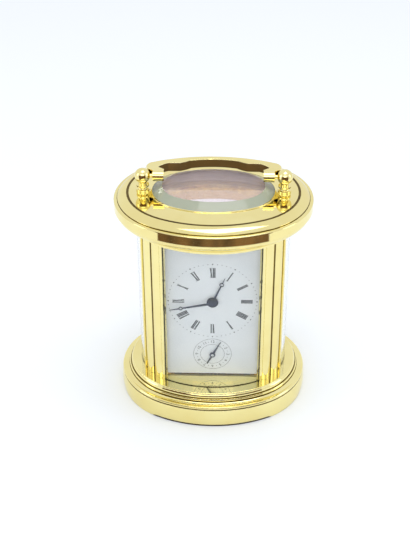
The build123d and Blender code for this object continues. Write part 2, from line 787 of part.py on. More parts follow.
def pivot_rod(radius, depth_in_ball, depth_in_lug=PIN_IN_LUG):
    """A rod along the handle's axis, from inside the right ball to inside the lug."""
    outer = HANDLE_SPAN - BALL_RADIUS + depth_in_ball
    inner = LUG_OUTER - depth_in_lug
    rod = Rot(0, 90, 0) * Cylinder(radius, outer - inner, align=FROM_FOOT)
    return Pos(inner, 0, CASE_HEIGHT + PIVOT_HEIGHT) * rod


def both_sides(piece):
    return Compound(children=[piece, mirror(piece, Plane.YZ)])


def handle_post_nuts():
    nut = extrude(RegularPolygon(NUT_RADIUS, 6), NUT_HEIGHT)
    nut -= Cylinder(STUD_RADIUS + SCREW_FIT, 3 * NUT_HEIGHT)
    return both_sides(Pos(HANDLE_SPAN, 0, PLATE_FOOT - NUT_HEIGHT) * nut)


def handle_side(side):
    """One side of the folded handle's outline in plan: shoulder, lug and the recess behind it."""

    def place(across, back):
        return side * across, back

    def shares(points):
        return [place(x * HANDLE_HALF_WIDTH, y * HANDLE_REACH) for x, y in points]

    shoulder, ogee, recess = shares(SHOULDER_SHARES), shares(OGEE_SHARES), shares(RECESS_SHARES)
    lug_shoulder = place(LUG_OUTER, LUG_RADIUS / 2)
    lug_outer, lug_inner = place(LUG_OUTER, 0), place(LUG_INNER, 0)
    lug_back = place(LUG_INNER, LUG_RADIUS)
    return [
        Line(shoulder[3], shoulder[2]),
        ThreePointArc(shoulder[2], shoulder[1], shoulder[0]),
        Line(shoulder[0], lug_shoulder),
        Line(lug_shoulder, lug_outer),
        Line(lug_outer, lug_inner),
        Line(lug_inner, lug_back),
        Line(lug_back, recess[2]),
        ThreePointArc(recess[2], recess[1], recess[0]),
        Line(recess[0], ogee[2]),
        ThreePointArc(ogee[2], ogee[1], ogee[0]),
    ]


def handle_outline():
    """The folded handle in plan: both sides, joined by the bow's outer and inner curves."""
    outer = SHOULDER_SHARES[3]
    inner = OGEE_SHARES[0]
    bow = []
    for (x, y), crown in ((outer, 1), (inner, BOW_INNER_SHARE)):
        across, back = x * HANDLE_HALF_WIDTH, y * HANDLE_REACH
        bow.append(ThreePointArc((across, back), (0, crown * HANDLE_REACH), (-across, back)))
    return make_face(handle_side(1) + handle_side(-1) + bow)


def handle():
    """The bow with its two shoulders, and a round lug at each end on the pivots."""
    pivot = CASE_HEIGHT + PIVOT_HEIGHT
    bow = slab(handle_outline(), pivot - HANDLE_THICKNESS / 2, pivot + HANDLE_THICKNESS / 2)
    long = bow.edges().filter_by(lambda edge: edge.length > HANDLE_REACH).group_by(Axis.Z)
    bow = chamfer(long[0] + long[-1], HANDLE_BREAK)
    for side in (-1, 1):
        middle = side * (LUG_OUTER + LUG_INNER) / 2
        bow += Pos(middle, 0, pivot) * Rot(0, 90, 0) * Cylinder(LUG_RADIUS, LUG_OUTER - LUG_INNER)
    hole = pivot_rod(PIN_RADIUS + PIVOT_FIT, PIN_IN_BALL, PIN_IN_LUG + PIVOT_FIT)
    return bow - hole - mirror(hole, Plane.YZ)


def handle_pivots():
    return both_sides(pivot_rod(PIN_RADIUS, PIN_IN_BALL))


# Rear door


def door_span(trim, hinge_trim):
    """The plan of everything between the rear pillars, less a trim at the free end and the hinge."""
    hinge = hinge_axis()
    tangent = polar(1, PILLAR_FRONT_ANGLE + 90)
    radial = polar(CASE_DEPTH / 4, PILLAR_FRONT_ANGLE)
    start = (hinge[0] + tangent[0] * hinge_trim, hinge[1] + tangent[1] * hinge_trim)
    reach = RUNNING_GAP + trim - (DOOR_THICKNESS / 2 + RUNNING_GAP)
    end = (-hinge[0] - tangent[0] * reach, hinge[1] + tangent[1] * reach)
    return make_face(
        Polyline(
            (start[0] - radial[0], start[1] - radial[1]),
            (start[0] + radial[0], start[1] + radial[1]),
            (end[0] - radial[0], end[1] + radial[1]),
            (end[0] + radial[0], end[1] - radial[1]),
            close=True,
        )
    )


def door_heights():
    return LEDGE_HEIGHT + RUNNING_GAP, CORNICE_FOOT - RUNNING_GAP


def rear_door_frame():
    """The curved frame with its round hinge stile, window and glass groove."""
    low, high = door_heights()
    body = oval(DOOR_INSET) - oval(DOOR_INSET + DOOR_THICKNESS)
    plan = body & door_span(0, 0)
    plan += Pos(*hinge_axis()) * Circle(DOOR_THICKNESS / 2)
    frame = slab(plan, low, high)
    window = door_span(DOOR_STILE, DOOR_STILE - DOOR_THICKNESS / 2)
    frame -= slab(
        (oval(DOOR_INSET - OVERRUN) - oval(DOOR_INSET + DOOR_THICKNESS + OVERRUN)) & window,
        low + DOOR_RAIL,
        high - DOOR_RAIL,
    )
    frame -= door_glass(GROOVE_FIT)
    for height in (low - OVERRUN, CORNICE_FOOT - HINGE_PIN_GRIP - PIVOT_FIT):
        depth = HINGE_PIN_GRIP + OVERRUN - RUNNING_GAP + PIVOT_FIT
        frame -= Pos(*hinge_axis(), height) * Cylinder(
            HINGE_PIN_RADIUS + PIVOT_FIT, depth, align=FROM_FOOT
        )
    return frame - knob_stem(KNOB_NECK_RADIUS + SCREW_FIT)


def door_glass(ease=0.0):
    low, high = door_heights()
    grip = DOOR_GLASS_GRIP + ease
    face = DOOR_INSET + (DOOR_THICKNESS - DOOR_GLASS_THICKNESS) / 2
    body = oval(face - ease) - oval(face + DOOR_GLASS_THICKNESS + ease)
    span = door_span(DOOR_STILE - grip, DOOR_STILE - DOOR_THICKNESS / 2 - grip)
    return slab(body & span, low + DOOR_RAIL - grip, high - DOOR_RAIL + grip)


def knob_plane():
    """Where the knob stands: on the free stile's outer face, half way up."""
    low, high = door_heights()
    hinge = hinge_axis()
    foot = (-hinge[0], hinge[1])
    outward = polar(1, 180 - PILLAR_FRONT_ANGLE)
    return Plane(
        origin=(*foot, (low + high) / 2), x_dir=(0, 0, 1), z_dir=(outward[0], outward[1], 0)
    )


def knob_stem(radius):
    return knob_plane() * Pos(0, 0, -DOOR_THICKNESS / 4) * Cylinder(
        radius, DOOR_THICKNESS / 4 + KNOB_LENGTH / 2 + DOOR_THICKNESS / 2, align=FROM_FOOT
    )


def door_knob():
    """A turned knob on a stem that is riveted into the stile."""
    face = DOOR_THICKNESS / 2 + HAIR_GAP
    ball = face + KNOB_LENGTH - KNOB_RADIUS
    knob = knob_plane() * Pos(0, 0, ball) * Sphere(KNOB_RADIUS)
    foot = knob_plane() * Pos(0, 0, face) * Cylinder(
        KNOB_RADIUS * KNOB_FOOT_SHARE, KNOB_NECK_RADIUS, align=FROM_FOOT
    )
    return knob + foot + knob_stem(KNOB_NECK_RADIUS)


# Movement frame

FRONT_PLATE_BACK = FRONT_PLATE_FACE + MOVEMENT_PLATE_THICKNESS
BACK_PLATE_FACE = FRONT_PLATE_BACK + MOVEMENT_GAP
BACK_PLATE_BACK = BACK_PLATE_FACE + MOVEMENT_PLATE_THICKNESS
DIAL_BACK = DIAL_FACE + DIAL_THICKNESS
MOVEMENT_FOOT = LEDGE_HEIGHT
MOVEMENT_TOP = MOVEMENT_FOOT + MOVEMENT_HEIGHT
PLATFORM_TOP = MOVEMENT_TOP + PLATFORM_THICKNESS


def upright(place, face, front, back):
    """An outline drawn as seen from the dial side, as a piece from one Y to another."""
    plane = Plane(origin=(place[0], back, place[1]), x_dir=(1, 0, 0), z_dir=(0, -1, 0))
    return extrude(plane * face, back - front)


def rod(place, radius, front, back):
    return upright(place, Circle(radius), front, back)


def ring(place, outer, inner, front, back):
    return upright(place, Circle(outer) - Circle(inner), front, back)


def movement_pillar_places():
    across = MOVEMENT_HALF_WIDTH - PILLAR_EDGE
    heights = (MOVEMENT_FOOT + PILLAR_EDGE, MOVEMENT_TOP - PILLAR_EDGE)
    return [(side * across, z) for side in (-1, 1) for z in heights]


def seat_screw_places():
    """Two screws up through the floor into the lower pillars, as (x, y)."""
    across = MOVEMENT_HALF_WIDTH - PILLAR_EDGE
    middle = FRONT_PLATE_BACK + MOVEMENT_GAP / 2
    return [(-across, middle), (across, middle)]


def movement_pillars():
    """Four turned pillars between the plates, the lower two tapped for the seat screws."""
    posts = []
    for place in movement_pillar_places():
        post = rod(place, PILLAR_ROD_RADIUS, FRONT_PLATE_BACK, BACK_PLATE_FACE)
        for front in (FRONT_PLATE_BACK, BACK_PLATE_FACE - PILLAR_COLLAR_LENGTH):
            post += rod(place, PILLAR_COLLAR_RADIUS, front, front + PILLAR_COLLAR_LENGTH)
        for front in (FRONT_PLATE_BACK, BACK_PLATE_FACE - PLATE_SCREW_GRIP):
            post -= rod(place, PLATE_SCREW_RADIUS + SCREW_FIT, front, front + PLATE_SCREW_GRIP)
        posts.append(post)
    for index, place in ((0, 0), (2, 1)):
        x, y = seat_screw_places()[place]
        posts[index] -= Pos(x, y, MOVEMENT_FOOT) * Cylinder(
            SCREW_RADIUS + SCREW_FIT, PILLAR_EDGE + SCREW_FIT, align=FROM_FOOT
        )
    return Compound(children=posts)


def plate_screws():
    """The eight screws that hold the plates to the movement's pillars."""
    screws = []
    reach = MOVEMENT_PLATE_THICKNESS + PLATE_SCREW_GRIP
    one = screw(reach, PLATE_SCREW_RADIUS, PLATE_SCREW_HEAD, PLATE_SCREW_HEAD_HEIGHT)
    for x, z in movement_pillar_places():
        screws.append(Pos(x, FRONT_PLATE_FACE, z) * Rot(-90, 0, 0) * one)
        screws.append(Pos(x, BACK_PLATE_BACK, z) * Rot(90, 0, 0) * one)
    return Compound(children=screws)


def movement_plate(front, holes):
    """A plate standing on the floor, with a hole for each (place, radius)."""
    outline = Rectangle(2 * MOVEMENT_HALF_WIDTH, MOVEMENT_HEIGHT)
    outline = fillet(outline.vertices().sort_by(Axis.Y)[-2:], MOVEMENT_CORNER)
    middle = (0, MOVEMENT_FOOT + MOVEMENT_HEIGHT / 2)
    plate = upright(middle, outline, front, front + MOVEMENT_PLATE_THICKNESS)
    cuts = [
        rod(place, radius, front - OVERRUN, front + MOVEMENT_PLATE_THICKNESS + OVERRUN)
        for place, radius in holes
    ]
    for place in platform_screw_places():
        cuts.append(
            Pos(*place, MOVEMENT_TOP - PLATFORM_SCREW_GRIP)
            * Cylinder(PLATFORM_SCREW_RADIUS + SCREW_FIT, PLATFORM_SCREW_GRIP + OVERRUN, align=FROM_FOOT)
        )
    return plate - cuts


def dial_foot_places():
    return [
        (side * DIAL_FOOT_ACROSS, z) for side in (-1, 1) for z in (DIAL_FEET_LOW, DIAL_FEET_HIGH)
    ]


def pivot_hole(radius=PIVOT_RADIUS):
    return radius + PIVOT_FIT


def front_movement_plate():
    holes = [(place, pivot_hole()) for place in (THIRD, CONTRATE, ALARM_PINION, HAMMER_ARBOR)]
    holes += [(CENTRE, pivot_hole(ARBOR_RADIUS)), (ALARM, pivot_hole(ALARM_ARBOR_RADIUS))]
    holes += [(place, pivot_hole(BARREL_ARBOR_RADIUS / 2)) for place in (BARREL, ALARM_BARREL)]
    holes += [(place, MOTION_STUD_RADIUS / 2) for place in (MINUTE_STUD, IDLER_STUD)]
    holes += [(place, DIAL_FOOT_RADIUS + SCREW_FIT) for place in dial_foot_places()]
    holes += [(place, PLATE_SCREW_RADIUS + SCREW_FIT) for place in movement_pillar_places()]
    return movement_plate(FRONT_PLATE_FACE, holes)


def back_movement_plate():
    holes = [(place, pivot_hole()) for place in (THIRD, CONTRATE, ALARM_PINION)]
    holes += [(HAMMER_ARBOR, pivot_hole(ARBOR_RADIUS)), (CENTRE, pivot_hole(ARBOR_RADIUS))]
    holes += [(ALARM, pivot_hole(ALARM_ARBOR_RADIUS))]
    holes += [(place, pivot_hole(BARREL_ARBOR_RADIUS)) for place in (BARREL, ALARM_BARREL)]
    holes += [(BELL_CENTRE, BELL_POST_RADIUS / 2)]
    holes += [(click_place(place), CLICK_SCREW_RADIUS) for place in (BARREL, ALARM_BARREL)]
    holes += [(place, PLATE_SCREW_RADIUS + SCREW_FIT) for place in movement_pillar_places()]
    return movement_plate(BACK_PLATE_FACE, holes)


def dial_plate():
    """The flat dial with its two centre holes, on four feet that stand in the front plate."""
    low = LEDGE_HEIGHT + DIAL_FOOT_GAP
    high = CORNICE_FOOT - DIAL_TOP_GAP
    outline = Rectangle(2 * DIAL_HALF_WIDTH, high - low)
    plate = upright((0, (low + high) / 2), outline, DIAL_FACE, DIAL_BACK)
    plate -= rod(CENTRE, HOUR_PIPE_RADIUS + DIAL_HOLE_FIT, DIAL_FACE - OVERRUN, DIAL_BACK + OVERRUN)
    plate -= rod(ALARM, ALARM_ARBOR_RADIUS + DIAL_HOLE_FIT, DIAL_FACE - OVERRUN, DIAL_BACK + OVERRUN)
    for place in dial_foot_places():
        plate += rod(place, DIAL_FOOT_RADIUS, DIAL_BACK, FRONT_PLATE_BACK)
    return plate


# Gears


def toothed(teeth, module, phase, pinion=False):
    """A gear's outline with straight flanks; phase is the angle of a tooth's middle."""
    pitch = module * teeth / 2
    root, tip = pitch - DEDENDUM_SHARE * module, pitch + ADDENDUM_SHARE * module
    step = 360 / teeth
    at_pitch = LEAF_TOOTH_SHARE if pinion else PITCH_TOOTH_SHARE
    at_tip = LEAF_TIP_SHARE if pinion else TIP_TOOTH_SHARE
    at_root = LEAF_ROOT_SHARE if pinion else ROOT_TOOTH_SHARE
    points = []
    for tooth in range(teeth):
        middle = phase + tooth * step
        for radius, share in ((root, -at_root), (pitch, -at_pitch), (tip, -at_tip)):
            points.append(polar(radius, middle + share * step / 2))
        for radius, share in ((tip, at_tip), (pitch, at_pitch), (root, at_root)):
            points.append(polar(radius, middle + share * step / 2))
    return make_face(Polyline(*points, close=True))


def meshed(phase, teeth, other_teeth, direction):
    """The other gear's phase when a gear of this phase drives it, along a line at direction."""
    return direction + 180 - (phase - direction) * teeth / other_teeth + 180 / other_teeth


def heading(start, end):
    """The angle of the line from one place to another."""
    return math.degrees(math.atan2(end[1] - start[1], end[0] - start[0]))


def stepped(start, distance, angle):
    x, z = polar(distance, angle)
    return start[0] + x, start[1] + z


def crossed(face, pitch, module, spokes=5):
    """The wheel with its spokes: the web is cut away between rim and hub."""
    outer = pitch - DEDENDUM_SHARE * module - CROSSING_RIM
    window = Circle(outer) - Circle(CROSSING_HUB)
    for spoke in range(spokes):
        window -= Rot(0, 0, 360 * spoke / spokes) * Pos(outer, 0) * Rectangle(2 * outer, SPOKE_WIDTH)
    return face - window


def distance(teeth, other, module):
    return module * (teeth + other) / 2


def third_place():
    """Where the third wheel's arbor stands, in mesh with both neighbours."""
    near = distance(CENTRE_TEETH, THIRD_LEAVES, CENTRE_MODULE)
    far = distance(THIRD_TEETH, CONTRATE_LEAVES, THIRD_MODULE)
    span = math.dist(CENTRE, CONTRATE)
    along = (near**2 - far**2 + span**2) / (2 * span)
    bend = math.degrees(math.acos(along / near))
    return stepped(CENTRE, near, heading(CENTRE, CONTRATE) + bend)


def idler_place():
    """The alarm idler, half way between centre and alarm arbor, off to the left."""
    reach = distance(HOUR_TEETH, HOUR_TEETH, MOTION_MODULE)
    bend = math.degrees(math.acos(math.dist(CENTRE, ALARM) / 2 / reach))
    return stepped(CENTRE, reach, heading(CENTRE, ALARM) - bend)


THIRD = third_place()
MINUTE_STUD = stepped(CENTRE, distance(CANNON_TEETH, MINUTE_TEETH, MOTION_MODULE), MINUTE_ANGLE)
IDLER_STUD = idler_place()
ALARM_PINION = stepped(
    ALARM_BARREL, distance(ALARM_TEETH, ALARM_LEAVES, ALARM_MODULE), ALARM_PINION_ANGLE
)


def train_y(place):
    return FRONT_PLATE_BACK + place


def arbor(place, body_radius=ARBOR_RADIUS, pivot=PIVOT_RADIUS):
    """An arbor between the plates with a finer pivot at each end."""
    front, back = FRONT_PLATE_BACK + HAIR_GAP, BACK_PLATE_FACE - HAIR_GAP
    shaft = rod(place, body_radius, front, back)
    shaft += rod(place, pivot, front - PIVOT_LENGTH, front)
    return shaft + rod(place, pivot, back, back + PIVOT_LENGTH)


def going_barrel():
    """The closed drum of the mainspring with its toothed wheel, free on the winding arbor."""
    front = train_y(BARREL_DRUM_PLACE)
    drum = rod(BARREL, BARREL_DRUM_RADIUS, front, front + BARREL_DRUM_LENGTH)
    wheel = toothed(BARREL_TEETH, BARREL_MODULE, REST_PHASE)
    back = train_y(BARREL_WHEEL_PLACE) + WHEEL_THICKNESS
    drum += upright(BARREL, wheel, front + BARREL_DRUM_LENGTH, back)
    return drum - rod(BARREL, BARREL_ARBOR_RADIUS + PIVOT_FIT, front - OVERRUN, back + OVERRUN)


def centre_wheel():
    """The centre arbor with its pinion and wheel, run out to the front for the hands."""
    back = BACK_PLATE_BACK + HAIR_GAP
    front = cannon_front() - HAIR_GAP
    shaft = rod(CENTRE, ARBOR_RADIUS, front, back)
    phase = meshed(REST_PHASE, BARREL_TEETH, CENTRE_LEAVES, heading(BARREL, CENTRE))
    pinion = toothed(CENTRE_LEAVES, BARREL_MODULE, phase, pinion=True)
    middle = train_y(BARREL_WHEEL_PLACE) + WHEEL_THICKNESS / 2
    half = WHEEL_THICKNESS / 2 + PINION_MARGIN
    shaft += upright(CENTRE, pinion, middle - half, middle + half)
    place = train_y(CENTRE_WHEEL_PLACE)
    pitch = CENTRE_MODULE * CENTRE_TEETH / 2
    wheel = crossed(toothed(CENTRE_TEETH, CENTRE_MODULE, REST_PHASE), pitch, CENTRE_MODULE)
    shaft += upright(CENTRE, wheel, place, place + WHEEL_THICKNESS)
    return shaft + rod(CENTRE, COLLET_RADIUS, place, place + 2 * WHEEL_THICKNESS)


def third_wheel():
    phase = meshed(REST_PHASE, CENTRE_TEETH, THIRD_LEAVES, heading(CENTRE, THIRD))
    middle = train_y(CENTRE_WHEEL_PLACE) + WHEEL_THICKNESS / 2
    half = WHEEL_THICKNESS / 2 + PINION_MARGIN
    pinion = toothed(THIRD_LEAVES, CENTRE_MODULE, phase, pinion=True)
    shaft = arbor(THIRD) + upright(THIRD, pinion, middle - half, middle + half)
    place = train_y(THIRD_WHEEL_PLACE)
    pitch = THIRD_MODULE * THIRD_TEETH / 2
    wheel = crossed(toothed(THIRD_TEETH, THIRD_MODULE, REST_PHASE), pitch, THIRD_MODULE)
    shaft += upright(THIRD, wheel, place, place + WHEEL_THICKNESS)
    return shaft + rod(THIRD, COLLET_RADIUS, place, place + 2 * WHEEL_THICKNESS)


def contrate_tooth_plane():
    """The place along Y of the contrate wheel's pitch plane."""
    return train_y(CONTRATE_PLACE) + CONTRATE_WEB + DEDENDUM_SHARE * CONTRATE_MODULE


def contrate_wheel():
    """The wheel whose teeth stand up from its rim, to drive the upright escape pinion."""
    phase = meshed(REST_PHASE, THIRD_TEETH, CONTRATE_LEAVES, heading(THIRD, CONTRATE))
    middle = train_y(THIRD_WHEEL_PLACE) + WHEEL_THICKNESS / 2
    half = WHEEL_THICKNESS / 2 + PINION_MARGIN
    pinion = toothed(CONTRATE_LEAVES, THIRD_MODULE, phase, pinion=True)
    shaft = arbor(CONTRATE) + upright(CONTRATE, pinion, middle - half, middle + half)
    front = train_y(CONTRATE_PLACE)
    pitch = CONTRATE_MODULE * CONTRATE_TEETH / 2
    outer, inner = pitch + CONTRATE_FACE / 2, pitch - CONTRATE_FACE / 2
    web = crossed(Circle(outer), inner, CONTRATE_MODULE, spokes=4)
    shaft += upright(CONTRATE, web, front, front + CONTRATE_WEB)
    shaft += rod(CONTRATE, COLLET_RADIUS, front, front + 2 * CONTRATE_WEB)
    shaft += contrate_teeth(front + CONTRATE_WEB, outer, inner)
    return shaft


def contrate_teeth(root, outer, inner):
    """The crown of teeth: a ring with a straight-sided gap cut between each pair."""
    height = (DEDENDUM_SHARE + ADDENDUM_SHARE) * CONTRATE_MODULE
    crown = ring(CONTRATE, outer, inner, root, root + height)
    step = math.pi * CONTRATE_MODULE
    foot = step * (1 - ROOT_TOOTH_SHARE) / 2
    mouth = step * (1 - TIP_TOOTH_SHARE) / 2
    gap = make_face(
        Polyline(
            (-foot, 0), (-mouth, height), (mouth, height), (foot, 0), close=True
        )
    )
    one = Pos(0, 0, inner - HAIR_GAP) * extrude(gap, outer - inner + 2 * HAIR_GAP)
    cutters = []
    for tooth in range(CONTRATE_TEETH):
        turn = (tooth + 0.5) * 360 / CONTRATE_TEETH
        cutters.append(
            Pos(CONTRATE[0], root, CONTRATE[1]) * Rot(0, turn, 0) * one
        )
    return crown - cutters


# Motion work and hands


def cannon_front():
    return DIAL_FACE - MINUTE_HAND_GAP - HAND_THICKNESS


def cannon_pinion():
    """The pinion and pipe that carry the minute hand, tight on the centre arbor."""
    back = FRONT_PLATE_FACE - CANNON_GAP
    phase = meshed(REST_PHASE, MINUTE_TEETH, CANNON_TEETH, heading(MINUTE_STUD, CENTRE))
    leaves = toothed(CANNON_TEETH, MOTION_MODULE, phase, pinion=True)
    piece = upright(CENTRE, leaves, back - CANNON_LENGTH, back)
    piece += rod(CENTRE, CANNON_PIPE_RADIUS, cannon_front(), back)
    return piece - rod(CENTRE, ARBOR_RADIUS, cannon_front() - OVERRUN, back + OVERRUN)


def minute_wheel():
    """The wheel and pinion that run on a stud and step the motion down to the hour wheel."""
    back = FRONT_PLATE_FACE - MINUTE_WHEEL_GAP
    wheel = toothed(MINUTE_TEETH, MOTION_MODULE, REST_PHASE)
    piece = upright(MINUTE_STUD, wheel, back - MOTION_THICKNESS, back)
    phase = meshed(REST_PHASE, HOUR_TEETH, MINUTE_LEAVES, heading(CENTRE, MINUTE_STUD))
    leaves = toothed(MINUTE_LEAVES, MOTION_MODULE, phase, pinion=True)
    front = back - MOTION_THICKNESS - MINUTE_LEAF_LENGTH
    piece += upright(MINUTE_STUD, leaves, front, back - MOTION_THICKNESS)
    return piece - rod(
        MINUTE_STUD, MOTION_STUD_RADIUS + PIVOT_FIT, front - OVERRUN, back + OVERRUN
    )


def hour_wheel_span():
    back = FRONT_PLATE_FACE - HOUR_WHEEL_GAP
    return back - MOTION_THICKNESS, back


def hour_wheel():
    """The hour wheel on its pipe, which runs on the cannon pipe and carries the hour hand."""
    front, back = hour_wheel_span()
    piece = upright(CENTRE, toothed(HOUR_TEETH, MOTION_MODULE, REST_PHASE), front, back)
    face = DIAL_FACE - HOUR_HAND_GAP - HAND_THICKNESS
    piece += rod(CENTRE, HOUR_PIPE_RADIUS, face, front)
    return piece - rod(CENTRE, CANNON_PIPE_RADIUS + PIPE_FIT, face - OVERRUN, back + OVERRUN)


def alarm_idler():
    front, back = hour_wheel_span()
    phase = meshed(REST_PHASE, HOUR_TEETH, HOUR_TEETH, heading(CENTRE, IDLER_STUD))
    piece = upright(IDLER_STUD, toothed(HOUR_TEETH, MOTION_MODULE, phase), front, back)
    return piece - rod(
        IDLER_STUD, MOTION_STUD_RADIUS + PIVOT_FIT, front - OVERRUN, back + OVERRUN
    )


def alarm_wheel():
    """The twelve-hour wheel that runs free on the alarm arbor behind the small dial."""
    front, back = hour_wheel_span()
    idler = meshed(REST_PHASE, HOUR_TEETH, HOUR_TEETH, heading(CENTRE, IDLER_STUD))
    phase = meshed(idler, HOUR_TEETH, HOUR_TEETH, heading(IDLER_STUD, ALARM))
    piece = upright(ALARM, toothed(HOUR_TEETH, MOTION_MODULE, phase), front, back)
    return piece - rod(
        ALARM, ALARM_ARBOR_RADIUS + PIVOT_FIT, front - OVERRUN, back + OVERRUN
    )


def motion_work_posts():
    """The two shouldered studs, riveted in the front plate, on which the wheels run."""
    front = hour_wheel_span()[0]
    posts = []
    for place, shoulder in ((MINUTE_STUD, MINUTE_WHEEL_GAP), (IDLER_STUD, HOUR_WHEEL_GAP)):
        post = rod(place, MOTION_STUD_RADIUS, front - HAIR_GAP, FRONT_PLATE_FACE)
        post += rod(
            place, 2 * MOTION_STUD_RADIUS, FRONT_PLATE_FACE - shoulder + HAIR_GAP, FRONT_PLATE_FACE
        )
        post += rod(place, MOTION_STUD_RADIUS / 2, FRONT_PLATE_FACE, FRONT_PLATE_BACK)
        posts.append(post)
    return Compound(children=posts)


def moon_hand(length, hub, bore, ring_radius, root, neck, tip):
    """A moon hand pointing up: hub, tapering blade, open ring and a fine tip."""
    at_ring = length * MOON_RING_SHARE
    blade = make_face(
        Polyline(
            (-root / 2, 0), (-neck / 2, at_ring), (neck / 2, at_ring), (root / 2, 0), close=True
        )
    )
    point = make_face(
        Polyline(
            (-neck / 2, at_ring), (-tip / 2, length), (tip / 2, length), (neck / 2, at_ring), close=True
        )
    )
    face = Circle(hub) + blade + point + Pos(0, at_ring) * Circle(ring_radius)
    return face - Circle(bore) - Pos(0, at_ring) * Circle(ring_radius - RING_WALL)


def minute_hand():
    face = moon_hand(
        MINUTE_HAND_LENGTH, MINUTE_HUB_RADIUS, CANNON_PIPE_RADIUS,
        MINUTE_RING_RADIUS, HAND_ROOT_WIDTH, HAND_NECK_WIDTH, HAND_TIP_WIDTH,
    )
    front = cannon_front()
    return upright(CENTRE, Rot(0, 0, -MINUTE_HAND_TURN) * face, front, front + HAND_THICKNESS)


def hour_hand():
    face = moon_hand(
        HOUR_HAND_LENGTH, HOUR_HUB_RADIUS, HOUR_PIPE_RADIUS,
        HOUR_RING_RADIUS, HAND_ROOT_WIDTH, HAND_NECK_WIDTH, HAND_TIP_WIDTH,
    )
    front = DIAL_FACE - HOUR_HAND_GAP - HAND_THICKNESS
    return upright(CENTRE, Rot(0, 0, -HOUR_HAND_TURN) * face, front, front + HAND_THICKNESS)


def alarm_hand():
    """The small pointer with its tail."""
    blade = make_face(
        Polyline(
            (-HAND_NECK_WIDTH / 2, -ALARM_TAIL_LENGTH),
            (-HAND_ROOT_WIDTH / 2, 0),
            (-HAND_TIP_WIDTH / 2, ALARM_HAND_LENGTH),
            (HAND_TIP_WIDTH / 2, ALARM_HAND_LENGTH),
            (HAND_ROOT_WIDTH / 2, 0),
            (HAND_NECK_WIDTH / 2, -ALARM_TAIL_LENGTH),
            close=True,
        )
    )
    face = blade + Circle(ALARM_HUB_RADIUS) - Circle(ALARM_ARBOR_RADIUS)
    front = DIAL_FACE - ALARM_HAND_GAP - HAND_THICKNESS
    return upright(ALARM, Rot(0, 0, -ALARM_HAND_TURN) * face, front, front + HAND_THICKNESS)


def alarm_arbor():
    """The setting arbor, from the small dial's hand back to a knurled button behind the plate."""
    front = DIAL_FACE - ALARM_HAND_GAP - HAND_THICKNESS - HAIR_GAP
    back = BACK_PLATE_BACK + RATCHET_GAP
    shaft = rod(ALARM, ALARM_ARBOR_RADIUS, front, back)
    shaft += rod(ALARM, COLLET_RADIUS, FRONT_PLATE_BACK + HAIR_GAP, train_y(CENTRE_WHEEL_PLACE))
    wheel_back = hour_wheel_span()[1]
    shaft += rod(ALARM, COLLET_RADIUS, wheel_back + HAIR_GAP, FRONT_PLATE_FACE - HAIR_GAP)
    return shaft + setting_square(ALARM, back, ALARM_ARBOR_RADIUS * math.sqrt(2))


def setting_square(place, front, width):
    return upright(place, Rectangle(width, width), front, front + SQUARE_LENGTH)


# Winding work


def ratchet_face():
    """A ratchet wheel's saw teeth, steep on the side that the click holds."""
    root = RATCHET_RADIUS * RATCHET_ROOT_SHARE
    step = 360 / RATCHET_TEETH
    points = []
    for tooth in range(RATCHET_TEETH):
        points.append(polar(RATCHET_RADIUS, tooth * step))
        points.append(polar(root, tooth * step + step * RATCHET_FLANK_SHARE))
    return make_face(Polyline(*points, close=True))


def winding_arbor(place, drum_front):
    """A barrel's arbor with its ratchet wheel and winding square."""
    front = FRONT_PLATE_BACK + HAIR_GAP
    shaft = rod(place, BARREL_ARBOR_RADIUS, front, BACK_PLATE_BACK + RATCHET_GAP)
    shaft += rod(place, BARREL_ARBOR_RADIUS / 2, front - PIVOT_LENGTH, front)
    shaft += rod(place, 2 * BARREL_ARBOR_RADIUS, front, drum_front - HAIR_GAP)
    ratchet = BACK_PLATE_BACK + RATCHET_GAP
    shaft += upright(place, ratchet_face(), ratchet, ratchet + WHEEL_THICKNESS)
    return shaft + setting_square(place, ratchet + WHEEL_THICKNESS, SQUARE_WIDTH)


def click_place(place):
    return stepped(place, CLICK_ARM, CLICK_ANGLE)


def click(place):
    """The pawl: a boss on its screw, and a nose behind the ratchet's steep side."""
    tooth = -CLICK_NOSE_TEETH * 360 / RATCHET_TEETH
    face = make_face(
        Polyline(
            polar(RATCHET_RADIUS - CLICK_DEPTH, tooth + CLICK_NOSE_TURN),
            polar(RATCHET_RADIUS + CLICK_LIFT, tooth + CLICK_CREST_TURN),
            polar(RATCHET_RADIUS + CLICK_BOSS, tooth + CLICK_BACK_TURN),
            stepped(polar(CLICK_ARM, CLICK_ANGLE), CLICK_BOSS, tooth + CLICK_TAIL_TURN),
            stepped(polar(CLICK_ARM, CLICK_ANGLE), CLICK_BOSS, tooth + CLICK_TAIL_TURN + 180),
            polar(RATCHET_RADIUS + CLICK_LIFT, tooth + CLICK_HEEL_TURN),
            close=True,
        )
    )
    face += Pos(*polar(CLICK_ARM, CLICK_ANGLE)) * Circle(CLICK_BOSS)
    ratchet = BACK_PLATE_BACK + RATCHET_GAP
    piece = upright(place, face, ratchet, ratchet + WHEEL_THICKNESS)
    return piece - rod(
        click_place(place), CLICK_SCREW_RADIUS + PIVOT_FIT, ratchet - OVERRUN, ratchet + 2 * OVERRUN
    )


